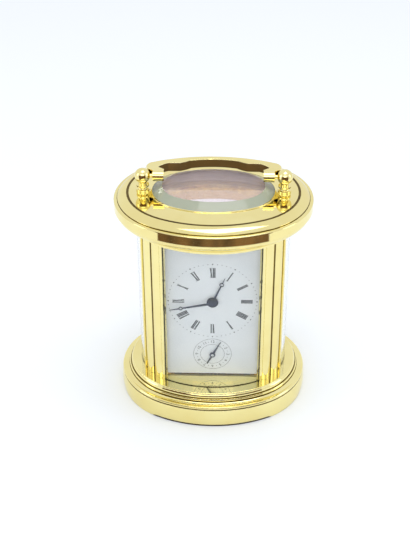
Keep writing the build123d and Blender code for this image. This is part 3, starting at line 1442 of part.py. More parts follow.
def click_springs():
    """Two thin leaves that press the clicks home, each riveted by its foot to the back plate."""
    tooth = -CLICK_NOSE_TEETH * 360 / RATCHET_TEETH
    reach = RATCHET_RADIUS + CLICK_BOSS + SPRING_WIDTH
    foot = polar(CLICK_ARM + SPRING_DROP, tooth + SPRING_FOOT_ANGLE)
    tip = polar(reach, tooth + CLICK_TAIL_TURN)
    leaf = make_face(
        Polyline(
            tip,
            foot,
            stepped(foot, SPRING_WIDTH, heading(tip, foot) - 90),
            stepped(tip, SPRING_WIDTH, heading(tip, foot) - 90),
            close=True,
        )
    )
    ratchet = BACK_PLATE_BACK + RATCHET_GAP
    springs = []
    for place in (BARREL, ALARM_BARREL):
        where = place[0] + foot[0], place[1] + foot[1]
        spring = upright(place, leaf, ratchet, ratchet + WHEEL_THICKNESS)
        springs.append(spring + rod(where, SPRING_FOOT, BACK_PLATE_BACK, ratchet + WHEEL_THICKNESS))
    return Compound(children=springs)


def click_screws():
    """The two shouldered screws on which the clicks turn."""
    ratchet = BACK_PLATE_BACK + RATCHET_GAP
    head = ratchet + WHEEL_THICKNESS + HAIR_GAP
    screws = []
    for place in (BARREL, ALARM_BARREL):
        where = click_place(place)
        one = rod(where, CLICK_SCREW_RADIUS, BACK_PLATE_FACE, head)
        one += rod(where, CLICK_BOSS, head, head + WHEEL_THICKNESS / 2)
        screws.append(one)
    return Compound(children=screws)


# Alarm train and striking


def alarm_barrel():
    front = train_y(ALARM_DRUM_PLACE)
    drum = rod(ALARM_BARREL, ALARM_DRUM_RADIUS, front, front + ALARM_DRUM_LENGTH)
    back = train_y(ALARM_WHEEL_PLACE) + WHEEL_THICKNESS
    wheel = toothed(ALARM_TEETH, ALARM_MODULE, REST_PHASE)
    drum += upright(ALARM_BARREL, wheel, front + ALARM_DRUM_LENGTH, back)
    return drum - rod(
        ALARM_BARREL, BARREL_ARBOR_RADIUS + PIVOT_FIT, front - OVERRUN, back + OVERRUN
    )


def alarm_escape_wheel():
    """The fast wheel of the alarm, whose saw teeth throw the hammer to and fro."""
    phase = meshed(REST_PHASE, ALARM_TEETH, ALARM_LEAVES, ALARM_PINION_ANGLE)
    middle = train_y(ALARM_WHEEL_PLACE) + WHEEL_THICKNESS / 2
    half = WHEEL_THICKNESS / 2 + PINION_MARGIN
    pinion = toothed(ALARM_LEAVES, ALARM_MODULE, phase, pinion=True)
    shaft = arbor(ALARM_PINION) + upright(ALARM_PINION, pinion, middle - half, middle + half)
    place = train_y(ALARM_ESCAPE_PLACE)
    face = saw_wheel(
        ALARM_ESCAPE_TEETH, ALARM_ESCAPE_RADIUS, ESCAPE_ROOT_SHARE, ESCAPE_TIP_WIDTH * 2, ALARM_ESCAPE_PHASE
    )
    return shaft + upright(ALARM_PINION, face, place, place + WHEEL_THICKNESS)


def saw_wheel(teeth, tip, root_share, tip_width, phase):
    """A wheel of leaning pointed teeth; phase is the angle of a tip."""
    root = tip * root_share
    step = 360 / teeth
    half = math.degrees(tip_width / tip) / 2
    points = []
    for tooth in range(teeth):
        middle = phase + tooth * step
        points.append(polar(tip, middle - half))
        points.append(polar(tip, middle + half))
        points.append(polar(root, middle + step * SAW_BACK_SHARE))
        points.append(polar(root, middle + step * SAW_FLOOR_SHARE))
    return make_face(Polyline(*points, close=True))


def hammer():
    """The verge with its two pallet pins, and the hammer on its arm behind the back plate."""
    front = FRONT_PLATE_BACK + HAIR_GAP
    arm_front = BACK_PLATE_BACK + BELL_GAP
    shaft = rod(HAMMER_ARBOR, ARBOR_RADIUS, front, arm_front)
    shaft += rod(HAMMER_ARBOR, PIVOT_RADIUS, front - PIVOT_LENGTH, front)
    place = train_y(ALARM_ESCAPE_PLACE)
    bar_back = place - HAIR_GAP
    line = heading(ALARM_PINION, HAMMER_ARBOR)
    for side in (-1, 1):
        pin = stepped(
            ALARM_PINION, ALARM_ESCAPE_RADIUS + VERGE_CLEARANCE, line + side * VERGE_ANGLE
        )
        span = math.dist(HAMMER_ARBOR, pin)
        arm = Rot(0, 0, heading(HAMMER_ARBOR, pin)) * (
            Pos(span / 2, 0) * Rectangle(span, HAMMER_ARM_WIDTH)
        )
        shaft += upright(HAMMER_ARBOR, arm, bar_back - WHEEL_THICKNESS, bar_back)
        shaft += rod(
            pin, VERGE_PIN_RADIUS, bar_back - WHEEL_THICKNESS / 2, place + WHEEL_THICKNESS
        )
    reach = math.dist(HAMMER_ARBOR, HAMMER_HEAD)
    arm = Rot(0, 0, heading(HAMMER_ARBOR, HAMMER_HEAD)) * Pos(reach / 2, 0) * Rectangle(
        reach, HAMMER_ARM_WIDTH
    )
    shaft += upright(HAMMER_ARBOR, arm, arm_front, arm_front + WHEEL_THICKNESS)
    shaft += rod(HAMMER_ARBOR, COLLET_RADIUS, arm_front, arm_front + WHEEL_THICKNESS)
    return shaft + rod(
        HAMMER_HEAD, HAMMER_HEAD_RADIUS, arm_front, arm_front + BELL_DEPTH - BELL_GAP
    )


def bell():
    """A shallow cup bell with its mouth towards the plate."""
    mouth = BACK_PLATE_BACK + BELL_GAP
    crown = BELL_DEPTH * BELL_CROWN_SHARE
    outer = make_face(
        [
            Polyline((0, 0), (0, BELL_DEPTH), (BELL_NUT_RADIUS, BELL_DEPTH)),
            ThreePointArc(
                (BELL_NUT_RADIUS, BELL_DEPTH),
                (BELL_RADIUS * BELL_BEND_SHARE, crown),
                (BELL_RADIUS, 0),
            ),
            Line((BELL_RADIUS, 0), (0, 0)),
        ]
    )
    inner_radius, inner_depth = BELL_RADIUS - BELL_WALL, BELL_DEPTH - BELL_WALL
    inner = make_face(
        [
            Polyline((0, -OVERRUN), (0, inner_depth), (BELL_POST_RADIUS, inner_depth)),
            ThreePointArc(
                (BELL_POST_RADIUS, inner_depth),
                (inner_radius * BELL_BEND_SHARE, crown - BELL_WALL),
                (inner_radius, 0),
            ),
            Polyline((inner_radius, 0), (inner_radius, -OVERRUN), (0, -OVERRUN)),
        ]
    )
    cup = revolve(Plane.XZ * (outer - inner), Axis.Z)
    cup -= Cylinder(BELL_POST_RADIUS / 2 + SCREW_FIT, 4 * BELL_DEPTH)
    return Pos(BELL_CENTRE[0], mouth, BELL_CENTRE[1]) * Rot(-90, 0, 0) * cup


def bell_post():
    """The post between plate and bell, with the nut that holds the bell."""
    crown = BACK_PLATE_BACK + BELL_GAP + BELL_DEPTH
    post = rod(BELL_CENTRE, BELL_POST_RADIUS, BACK_PLATE_BACK, crown - BELL_WALL)
    post += rod(BELL_CENTRE, BELL_POST_RADIUS / 2, BACK_PLATE_FACE, crown + BELL_WALL)
    return post + rod(BELL_CENTRE, BELL_NUT_RADIUS, crown, crown + BELL_WALL)


# Platform escapement


def platform_screw_places():
    front = FRONT_PLATE_FACE + MOVEMENT_PLATE_THICKNESS / 2
    back = BACK_PLATE_FACE + MOVEMENT_PLATE_THICKNESS / 2
    return [(side * PLATFORM_SCREW_ACROSS, y) for side in (-1, 1) for y in (front, back)]


def escape_place():
    """The escape arbor's place in plan, in mesh with the contrate wheel's top teeth."""
    return CONTRATE[0], contrate_tooth_plane() + CONTRATE_MODULE * ESCAPE_LEAVES / 2


def pallet_place():
    x, y = escape_place()
    return x - ESCAPE_RADIUS / math.cos(math.radians(PALLET_SPAN_ANGLE)), y


def balance_place():
    x, y = pallet_place()
    return x - FORK_LENGTH, y


def disc(place, radius, low, high):
    """A round piece on the platform, between two heights above the platform's top."""
    return Pos(*place, PLATFORM_TOP + low) * Cylinder(radius, high - low, align=FROM_FOOT)


def flat(place, face, low, high):
    return extrude(Pos(*place, PLATFORM_TOP + low) * face, high - low)


def platform_plate():
    """The plate across the top of the movement, with the holes of the escapement's pivots."""
    front, back = FRONT_PLATE_FACE - PLATFORM_MARGIN, BACK_PLATE_BACK + PLATFORM_MARGIN
    outline = Pos(0, (front + back) / 2) * Rectangle(2 * PLATFORM_HALF_WIDTH, back - front)
    plate = slab(fillet(outline.vertices(), MOVEMENT_CORNER), MOVEMENT_TOP, PLATFORM_TOP)
    plate += escape_potence()
    plate -= disc(escape_place(), ESCAPE_HOLE_RADIUS, -PLATFORM_THICKNESS - OVERRUN, OVERRUN)
    for place in (pallet_place(), balance_place()):
        plate -= disc(
            place, FINE_PIVOT_RADIUS + FINE_PIVOT_FIT, -PLATFORM_THICKNESS - OVERRUN, OVERRUN
        )
    for place in platform_screw_places():
        plate -= disc(
            place, PLATFORM_SCREW_RADIUS + SCREW_FIT, -PLATFORM_THICKNESS - OVERRUN, OVERRUN
        )
    return plate


def platform_screws():
    one = screw(
        PLATFORM_THICKNESS + PLATFORM_SCREW_GRIP - SCREW_FIT,
        PLATFORM_SCREW_RADIUS,
        PLATFORM_SCREW_HEAD,
        PLATE_SCREW_HEAD_HEIGHT,
    )
    down = Rot(180, 0, 0) * one
    return Compound(
        children=[Pos(*place, PLATFORM_TOP) * down for place in platform_screw_places()]
    )


def escape_wheel():
    """The escape wheel with its upright arbor and the pinion below the platform."""
    place = escape_place()
    top = BRIDGE_LEVEL - HAIR_GAP
    wheel = saw_wheel(ESCAPE_TEETH, ESCAPE_RADIUS, ESCAPE_ROOT_SHARE, ESCAPE_TIP_WIDTH, ESCAPE_PHASE)
    piece = flat(place, wheel, ESCAPE_LEVEL, ESCAPE_LEVEL + ESCAPE_THICKNESS)
    foot = -PLATFORM_THICKNESS - ESCAPE_DROP
    piece += disc(place, STAFF_RADIUS, foot, top)
    piece += disc(place, FINE_PIVOT_RADIUS, top, top + BRIDGE_THICKNESS)
    piece += disc(place, FINE_PIVOT_RADIUS, foot - POTENCE_THICKNESS, foot)
    leaves = toothed(ESCAPE_LEAVES, CONTRATE_MODULE, 0.0, pinion=True)
    return piece + flat(place, leaves, foot + HAIR_GAP, -PLATFORM_THICKNESS - HAIR_GAP)


def escape_potence():
    """The bracket under the platform that carries the escape arbor's lower pivot."""
    place = escape_place()
    foot = -PLATFORM_THICKNESS - ESCAPE_DROP - HAIR_GAP
    arm = Pos(0, POTENCE_REACH / 2) * Rectangle(POTENCE_WIDTH, POTENCE_REACH)
    arm += Circle(POTENCE_WIDTH / 2)
    piece = flat(place, arm, foot - POTENCE_THICKNESS, foot)
    post = Pos(0, POTENCE_REACH) * Rectangle(POTENCE_WIDTH, POTENCE_WIDTH)
    piece += flat(place, post, foot - POTENCE_THICKNESS, -PLATFORM_THICKNESS / 2)
    return piece - disc(
        place, FINE_PIVOT_RADIUS + FINE_PIVOT_FIT, foot - 2 * POTENCE_THICKNESS, foot + OVERRUN
    )


def pallet_fork():
    """The lever: an anchor with two stones beside the escape wheel, and a forked tail."""
    pallet = pallet_place()
    escape = escape_place()
    reach = FORK_LENGTH - IMPULSE_RADIUS - HORN_OVERLAP
    half = NOTCH_HALF_WIDTH + HORN_WIDTH
    lever = Pos(-reach / 2, 0) * Rectangle(reach, FORK_WIDTH)
    head = Pos(-reach + HORN_LENGTH / 2, 0) * Rectangle(HORN_LENGTH, 2 * half)
    notch = Pos(-reach + NOTCH_DEPTH / 2 - OVERRUN / 2, 0) * Rectangle(
        NOTCH_DEPTH + OVERRUN, 2 * NOTCH_HALF_WIDTH
    )
    face = lever + head - notch
    arm_reach = ESCAPE_RADIUS + STONE_CLEARANCE + STONE_LENGTH
    for side in (-1, 1):
        angle = 180 + side * PALLET_SPAN_ANGLE
        x, y = polar(arm_reach, angle)
        offset = escape[0] - pallet[0]
        face += make_face(
            Polyline(
                (-FORK_WIDTH / 2, 0), (offset + x, y), (offset + x + FORK_WIDTH, y), (FORK_WIDTH / 2, 0),
                close=True,
            )
        )
        stone = Rot(0, 0, angle) * Pos(arm_reach - STONE_LENGTH / 2, 0) * Rectangle(
            STONE_LENGTH, STONE_WIDTH
        )
        face += Pos(offset, 0) * stone
    piece = flat(pallet, face, ESCAPE_LEVEL, ESCAPE_LEVEL + ESCAPE_THICKNESS)
    top = BRIDGE_LEVEL - HAIR_GAP
    piece += disc(pallet, STAFF_RADIUS, HAIR_GAP, top)
    return piece + disc(pallet, FINE_PIVOT_RADIUS, -PIVOT_LENGTH, top + BRIDGE_THICKNESS)


def train_bridge():
    """The bridge over escape wheel and lever, on a foot to the right of the wheel."""
    escape, pallet = escape_place(), pallet_place()
    foot_x = escape[0] + ESCAPE_RADIUS + BRIDGE_FOOT
    width = 2 * JEWEL_RADIUS + BRIDGE_THICKNESS
    length = foot_x - pallet[0]
    deck = Pos((foot_x + pallet[0]) / 2, escape[1]) * Rectangle(length, width)
    deck += Pos(*pallet) * Circle(width / 2)
    deck += Pos(foot_x, escape[1]) * Circle(BRIDGE_FOOT - RUNNING_GAP)
    piece = flat((0, 0), deck, BRIDGE_LEVEL, BRIDGE_LEVEL + BRIDGE_THICKNESS)
    piece += disc((foot_x, escape[1]), BRIDGE_FOOT - RUNNING_GAP, 0, BRIDGE_LEVEL)
    for place in (escape, pallet):
        piece -= disc(place, JEWEL_RADIUS, BRIDGE_LEVEL - OVERRUN, BRIDGE_LEVEL + BRIDGE_THICKNESS + OVERRUN)
    return piece


def balance_wheel():
    """Rim, arms, staff and roller with its impulse pin."""
    place = balance_place()
    face = Circle(BALANCE_RADIUS) - Circle(BALANCE_RADIUS - BALANCE_RIM)
    arm_length = BALANCE_RADIUS - BALANCE_RIM / 2
    for arm in range(BALANCE_ARMS):
        turn = Rot(0, 0, 360 * arm / BALANCE_ARMS)
        face += turn * Pos(arm_length / 2, 0) * Rectangle(arm_length, SPOKE_WIDTH)
    face += Circle(2 * STAFF_RADIUS)
    piece = flat(place, face, BALANCE_LEVEL, BALANCE_LEVEL + BALANCE_THICKNESS)
    top = COCK_LEVEL - HAIR_GAP
    piece += disc(place, STAFF_RADIUS, HAIR_GAP, top)
    piece += disc(place, FINE_PIVOT_RADIUS, -PIVOT_LENGTH, top + COCK_THICKNESS)
    piece += disc(place, ROLLER_RADIUS, ROLLER_LEVEL, ROLLER_LEVEL + ROLLER_THICKNESS)
    pin = (place[0] + IMPULSE_RADIUS, place[1])
    return piece + disc(pin, IMPULSE_PIN_RADIUS, ESCAPE_LEVEL, ROLLER_LEVEL)


def hairspring_reach():
    """How far from the staff the spring's outer end lies."""
    return HAIRSPRING_INNER + HAIRSPRING_PITCH * HAIRSPRING_TURNS


def hairspring():
    """One unbroken spiral of half-turn arcs from the collet out to the stud on the cock."""
    place = balance_place()
    level = PLATFORM_TOP + HAIRSPRING_LEVEL
    arcs = []
    radius = HAIRSPRING_INNER
    centre = 0.0
    side = 1
    x = radius
    for half in range(2 * HAIRSPRING_TURNS):
        start = (x, 0)
        radius = HAIRSPRING_INNER + HAIRSPRING_PITCH * (half + 0.5) / 2
        centre = x - side * radius
        end_x = centre - side * radius
        middle = (centre, side * radius)
        arcs.append(ThreePointArc(start, middle, (end_x, 0)))
        x = end_x
        side = -side
    path = Wire(arcs)
    sketch = Plane(
        origin=(HAIRSPRING_INNER, 0, 0), x_dir=(1, 0, 0), z_dir=(0, 1, 0)
    ) * Circle(HAIRSPRING_WIRE / 2)
    coil = sweep(sketch, path=path)
    gap = HAIRSPRING_PITCH - HAIRSPRING_WIRE
    print("hairspring: least gap between turns", round(gap, 3))
    collet = Cylinder(HAIRSPRING_INNER, HAIRSPRING_WIRE) - Cylinder(STAFF_RADIUS + SCREW_FIT, OVERRUN)
    return Pos(*place, level) * Rot(0, 0, 90) * (coil + collet)


def balance_cock():
    """The cock over the balance: a tall foot behind it and an arm to the jewel."""
    x, y = balance_place()
    foot_y = y + BALANCE_RADIUS + COCK_FOOT
    arm = Pos(x, (y + foot_y) / 2) * Rectangle(COCK_WIDTH, foot_y - y)
    arm += Pos(x, y) * Circle(COCK_HEAD)
    arm += Pos(x, foot_y) * Rectangle(2 * COCK_WIDTH, 2 * COCK_FOOT - 2 * RUNNING_GAP)
    piece = flat((0, 0), arm, COCK_LEVEL, COCK_LEVEL + COCK_THICKNESS)
    piece += flat(
        (x, foot_y), Rectangle(2 * COCK_WIDTH, 2 * COCK_FOOT - 2 * RUNNING_GAP), 0, COCK_LEVEL
    )
    stud = Pos(-HAIRSPRING_STUD - HAIR_GAP, hairspring_reach()) * Circle(HAIRSPRING_STUD)
    piece += flat((x, y), stud, HAIRSPRING_LEVEL - HAIRSPRING_STUD, COCK_LEVEL)
    return piece - disc(
        (x, y), JEWEL_RADIUS, COCK_LEVEL - OVERRUN, COCK_LEVEL + COCK_THICKNESS + OVERRUN
    )


def jewels():
    """The three red hole jewels, pressed in the bridge and the cock."""
    stones = []
    for place, low, thickness in (
        (escape_place(), BRIDGE_LEVEL, BRIDGE_THICKNESS),
        (pallet_place(), BRIDGE_LEVEL, BRIDGE_THICKNESS),
        (balance_place(), COCK_LEVEL, COCK_THICKNESS),
    ):
        stone = disc(place, JEWEL_RADIUS, low, low + thickness)
        stones.append(
            stone - disc(place, FINE_PIVOT_RADIUS + FINE_PIVOT_FIT, low - OVERRUN, low + thickness + OVERRUN)
        )
    return Compound(children=stones)


def build():
    """Every piece of the clock, by the name of its node."""
    front_right, rear = pillar(True), pillar(False)
    glass = side_glass()
    posts = handle_posts()
    return {
        "base_plinth": base_plinth(),
        "top_cornice": top_cornice(),
        "top_plate": top_plate(),
        "top_glass": top_glass(),
        "front_right_pillar": front_right,
        "front_left_pillar": mirror(front_right, Plane.YZ),
        "rear_right_pillar": mirror(rear, Plane.XZ),
        "rear_left_pillar": mirror(mirror(rear, Plane.YZ), Plane.XZ),
        "front_glass": front_glass(),
        "right_side_glass": glass,
        "left_side_glass": mirror(glass, Plane.YZ),
        "case_screws": case_screws(),
        "right_handle_post": posts,
        "left_handle_post": mirror(posts, Plane.YZ),
        "handle_post_nuts": handle_post_nuts(),
        "handle_pivots": handle_pivots(),
        "handle": handle(),
        "door_hinge_pins": door_hinge_pins(),
        "rear_door_frame": rear_door_frame(),
        "rear_door_glass": door_glass(),
        "door_knob": door_knob(),
        "front_movement_plate": front_movement_plate(),
        "back_movement_plate": back_movement_plate(),
        "movement_pillars": movement_pillars(),
        "plate_screws": plate_screws(),
        "dial_plate": dial_plate(),
        "going_barrel": going_barrel(),
        "winding_arbor": winding_arbor(BARREL, train_y(BARREL_DRUM_PLACE)),
        "winding_click": click(BARREL),
        "centre_wheel": centre_wheel(),
        "third_wheel": third_wheel(),
        "contrate_wheel": contrate_wheel(),
        "cannon_pinion": cannon_pinion(),
        "minute_hand": minute_hand(),
        "minute_wheel": minute_wheel(),
        "hour_wheel": hour_wheel(),
        "hour_hand": hour_hand(),
        "motion_work_posts": motion_work_posts(),
        "alarm_idler": alarm_idler(),
        "alarm_wheel": alarm_wheel(),
        "alarm_arbor": alarm_arbor(),
        "alarm_hand": alarm_hand(),
        "alarm_barrel": alarm_barrel(),
        "alarm_winding_arbor": winding_arbor(ALARM_BARREL, train_y(ALARM_DRUM_PLACE)),
        "alarm_click": click(ALARM_BARREL),
        "click_screws": click_screws(),
        "click_springs": click_springs(),
        "alarm_escape_wheel": alarm_escape_wheel(),
        "alarm_hammer": hammer(),
        "bell": bell(),
        "bell_post": bell_post(),
        "platform_plate": platform_plate(),
        "platform_screws": platform_screws(),
        "escape_wheel": escape_wheel(),
        "pallet_fork": pallet_fork(),
        "train_bridge": train_bridge(),
        "balance_wheel": balance_wheel(),
        "hairspring": hairspring(),
        "balance_cock": balance_cock(),
        "jewels": jewels(),
    }


os.makedirs("parts", exist_ok=True)
for name, piece in build().items():
    export_step(piece, f"parts/{name}.step")
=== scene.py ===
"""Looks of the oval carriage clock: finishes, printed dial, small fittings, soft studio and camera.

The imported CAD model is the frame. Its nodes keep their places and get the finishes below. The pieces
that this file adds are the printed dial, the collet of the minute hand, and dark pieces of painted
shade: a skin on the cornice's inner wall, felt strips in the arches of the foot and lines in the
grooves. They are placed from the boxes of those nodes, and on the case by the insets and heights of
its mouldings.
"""

import json
import logging
import math
from dataclasses import dataclass, field, replace
from enum import Enum
from typing import Any, Callable

import bmesh
import bpy
from mathutils import Matrix, Vector

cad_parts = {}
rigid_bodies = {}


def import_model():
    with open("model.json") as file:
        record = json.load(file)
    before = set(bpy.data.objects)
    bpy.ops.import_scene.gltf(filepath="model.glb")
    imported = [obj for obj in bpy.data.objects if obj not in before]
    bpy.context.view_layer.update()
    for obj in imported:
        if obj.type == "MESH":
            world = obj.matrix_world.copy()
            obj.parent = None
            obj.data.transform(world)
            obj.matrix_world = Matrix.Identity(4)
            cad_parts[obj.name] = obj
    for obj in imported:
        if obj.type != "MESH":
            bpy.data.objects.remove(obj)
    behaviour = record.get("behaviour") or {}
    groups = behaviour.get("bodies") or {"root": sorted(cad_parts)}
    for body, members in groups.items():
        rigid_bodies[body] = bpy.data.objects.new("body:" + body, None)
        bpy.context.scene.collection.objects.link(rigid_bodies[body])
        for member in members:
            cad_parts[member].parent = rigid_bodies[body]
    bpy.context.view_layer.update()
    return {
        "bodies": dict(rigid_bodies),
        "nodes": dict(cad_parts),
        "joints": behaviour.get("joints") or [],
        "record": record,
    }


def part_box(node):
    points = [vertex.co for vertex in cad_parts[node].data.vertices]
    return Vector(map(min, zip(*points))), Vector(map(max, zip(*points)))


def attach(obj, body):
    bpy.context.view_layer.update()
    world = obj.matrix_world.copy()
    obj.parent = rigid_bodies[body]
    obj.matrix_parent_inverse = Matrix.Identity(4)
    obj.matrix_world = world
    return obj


MM = 0.001
CASE = "case_body"
NODE_GAP = 220
WELD = 1e-7
Y_AXIS = (0.0, 1.0, 0.0)
Z_AXIS = (0.0, 0.0, 1.0)

# The curve of sRGB
HEX_DIGITS = 2
HEX_TOP = 255.0
SRGB_KNEE = 0.04045
SRGB_SLOPE = 12.92
SRGB_LIFT = 0.055
SRGB_POWER = 2.4

# Sockets of a Mix node that hold its two colours and their mixture
FIRST, SECOND, MIXED = 6, 7, 2

# Detail of the broad and of the fine patterns in the finishes
PATCH_DETAIL = 3.0
GRAIN_DETAIL = 4.0

log = logging.getLogger("clock")


class Slot(Enum):
    """The record's material slots."""

    POLISHED_BRASS = "polished_brass"
    MOVEMENT_BRASS = "movement_brass"
    BEVELLED_GLASS = "bevelled_glass"
    WHITE_DIAL = "white_dial"
    BLUED_STEEL = "blued_steel"
    BRIGHT_STEEL = "bright_steel"
    RED_JEWEL = "red_jewel"


def linear(code: str) -> tuple[float, float, float, float]:
    """Turns an sRGB hex value into a linear colour.

    Args:
        code: six hex digits, with or without a leading mark.

    Returns:
        Red, green, blue and an alpha of 1, in linear light.
    """
    digits = code.lstrip("#")
    starts = range(0, len(digits), HEX_DIGITS)
    shares = [int(digits[k : k + HEX_DIGITS], 16) / HEX_TOP for k in starts]
    bent = [
        s / SRGB_SLOPE if s <= SRGB_KNEE else ((s + SRGB_LIFT) / (1.0 + SRGB_LIFT)) ** SRGB_POWER
        for s in shares
    ]
    return (*bent, 1.0)


def per_metre(size_mm: float) -> float:
    """Gives the scale of a pattern on Object coordinates whose grain is so many millimetres."""
    return 1.0 / (size_mm * MM)


def add_node(
    tree: bpy.types.NodeTree,
    kind: str,
    settings: dict[str, Any] | None = None,
    inputs: dict[Any, Any] | None = None,
) -> bpy.types.Node:
    """Adds a node to a tree, with its settings and links.

    Args:
        tree: the node tree.
        kind: the node's type name, without ShaderNode.
        settings: properties of the node.
        inputs: socket name or number to a value, or to an output socket that is linked to it.

    Returns:
        The new node.
    """
    node = tree.nodes.new("ShaderNode" + kind)
    node.location = (NODE_GAP * len(tree.nodes), 0)
    for name, value in (settings or {}).items():
        setattr(node, name, value)
    for name, value in (inputs or {}).items():
        if isinstance(value, bpy.types.NodeSocket):
            tree.links.new(value, node.inputs[name])
        else:
            node.inputs[name].default_value = value
    return node


def blank_material(name: str) -> tuple[bpy.types.Material, bpy.types.NodeTree]:
    """Makes a material whose node tree is empty.

    Args:
        name: the material's name.

    Returns:
        The material and its node tree.
    """
    material = bpy.data.materials.new(name)
    material.use_nodes = True
    material.node_tree.nodes.clear()
    return material, material.node_tree


def ramp_colours(node: bpy.types.Node, low: str, high: str, ends: tuple[float, float]) -> None:
    """Sets a colour ramp's two stops.

    Args:
        node: the ramp.
        low: sRGB hex value at the first stop.
        high: sRGB hex value at the second stop.
        ends: places of the two stops.
    """
    stops = node.color_ramp.elements
    stops[0].position, stops[1].position = ends
    stops[0].color, stops[1].color = linear(low), linear(high)


@dataclass(frozen=True)
class Metal:
    """A metal, solid right through, in the state that its polishing or graining left it in.

    The colour drifts between two tones over broad patches, the roughness over fine ones, and edges
    that are handled or buffed through are a little brighter than the rest. Grooves and corners are
    darkened towards the groove shade tone by painted shade, the more so the more enclosed they are. The
    ends of an edge and of a groove are where its tone starts and where it is full.
    """

    name: str
    tone: str
    deep_tone: str
    edge_tone: str
    # Painted shade: the colour that grooves and corners darken towards, by how enclosed they are.
    groove_tone: str
    smooth: float
    dull: float
    patch_mm: float
    grain_mm: float
    grain_stretch: tuple[float, float, float] = (1.0, 1.0, 1.0)
    patch_roughness: float = 0.55
    tone_ends: tuple[float, float] = (0.30, 0.62)
    grain_ends: tuple[float, float] = (0.3, 0.7)
    relief_mm: float = 0.004
    relief_share: float = 0.15
    edge_mm: float = 0.18
    edge_ends: tuple[float, float] = (0.995, 0.90)
    edge_samples: int = 4
    groove_mm: float = 1.3
    groove_ends: tuple[float, float] = (0.50, 0.22)
    groove_samples: int = 6

    def build(self) -> bpy.types.Material:
        """Makes the material.

        Returns:
            The material.
        """
        material, tree = blank_material(self.name)
        place = add_node(tree, "TexCoord").outputs["Object"]
        patches = add_node(
            tree,
            "TexNoise",
            inputs={
                "Vector": place,
                "Scale": per_metre(self.patch_mm),
                "Detail": PATCH_DETAIL,
                "Roughness": self.patch_roughness,
            },
        ).outputs["Fac"]
        tones = add_node(tree, "ValToRGB", inputs={"Fac": patches})
        ramp_colours(tones, self.deep_tone, self.tone, self.tone_ends)
        stretched = add_node(
            tree, "Mapping", inputs={"Vector": place, "Scale": self.grain_stretch}
        ).outputs["Vector"]
        grain = add_node(
            tree,
            "TexNoise",
            inputs={"Vector": stretched, "Scale": per_metre(self.grain_mm), "Detail": GRAIN_DETAIL},
        ).outputs["Fac"]
        flat_normal = add_node(tree, "NewGeometry").outputs["Normal"]
        soft_normal = add_node(
            tree, "Bevel", {"samples": self.edge_samples}, {"Radius": self.edge_mm * MM}
        ).outputs["Normal"]
        facing = add_node(
            tree, "VectorMath", {"operation": "DOT_PRODUCT"}, {0: flat_normal, 1: soft_normal}
        ).outputs["Value"]
        openness = add_node(
            tree,
            "AmbientOcclusion",
            {"samples": self.groove_samples},
            {"Distance": self.groove_mm * MM},
        ).outputs["AO"]
        colour = tones.outputs["Color"]
        # The first pass brightens edges; the second paints shade into grooves and corners, by how
        # enclosed they are.
        for value, ends, tone in (
            (facing, self.edge_ends, self.edge_tone),
            (openness, self.groove_ends, self.groove_tone),
        ):
            share = add_node(
                tree, "MapRange", inputs={"Value": value, "From Min": ends[0], "From Max": ends[1]}
            ).outputs["Result"]
            colours = {"Factor": share, FIRST: colour, SECOND: linear(tone)}
            colour = add_node(tree, "Mix", {"data_type": "RGBA"}, colours).outputs[MIXED]
        roughness = add_node(
            tree,
            "MapRange",
            inputs={
                "Value": grain,
                "From Min": self.grain_ends[0],
                "From Max": self.grain_ends[1],
                "To Min": self.smooth,
                "To Max": self.dull,
            },
        ).outputs["Result"]
        bump = add_node(
            tree,
            "Bump",
            inputs={
                "Height": grain,
                "Strength": self.relief_share,
                "Distance": self.relief_mm * MM,
                "Normal": soft_normal,
            },
        ).outputs["Normal"]
        shader = add_node(
            tree,
            "BsdfPrincipled",
            inputs={"Base Color": colour, "Metallic": 1.0, "Roughness": roughness, "Normal": bump},
        )
        add_node(tree, "OutputMaterial", inputs={"Surface": shader.outputs["BSDF"]})
        return material


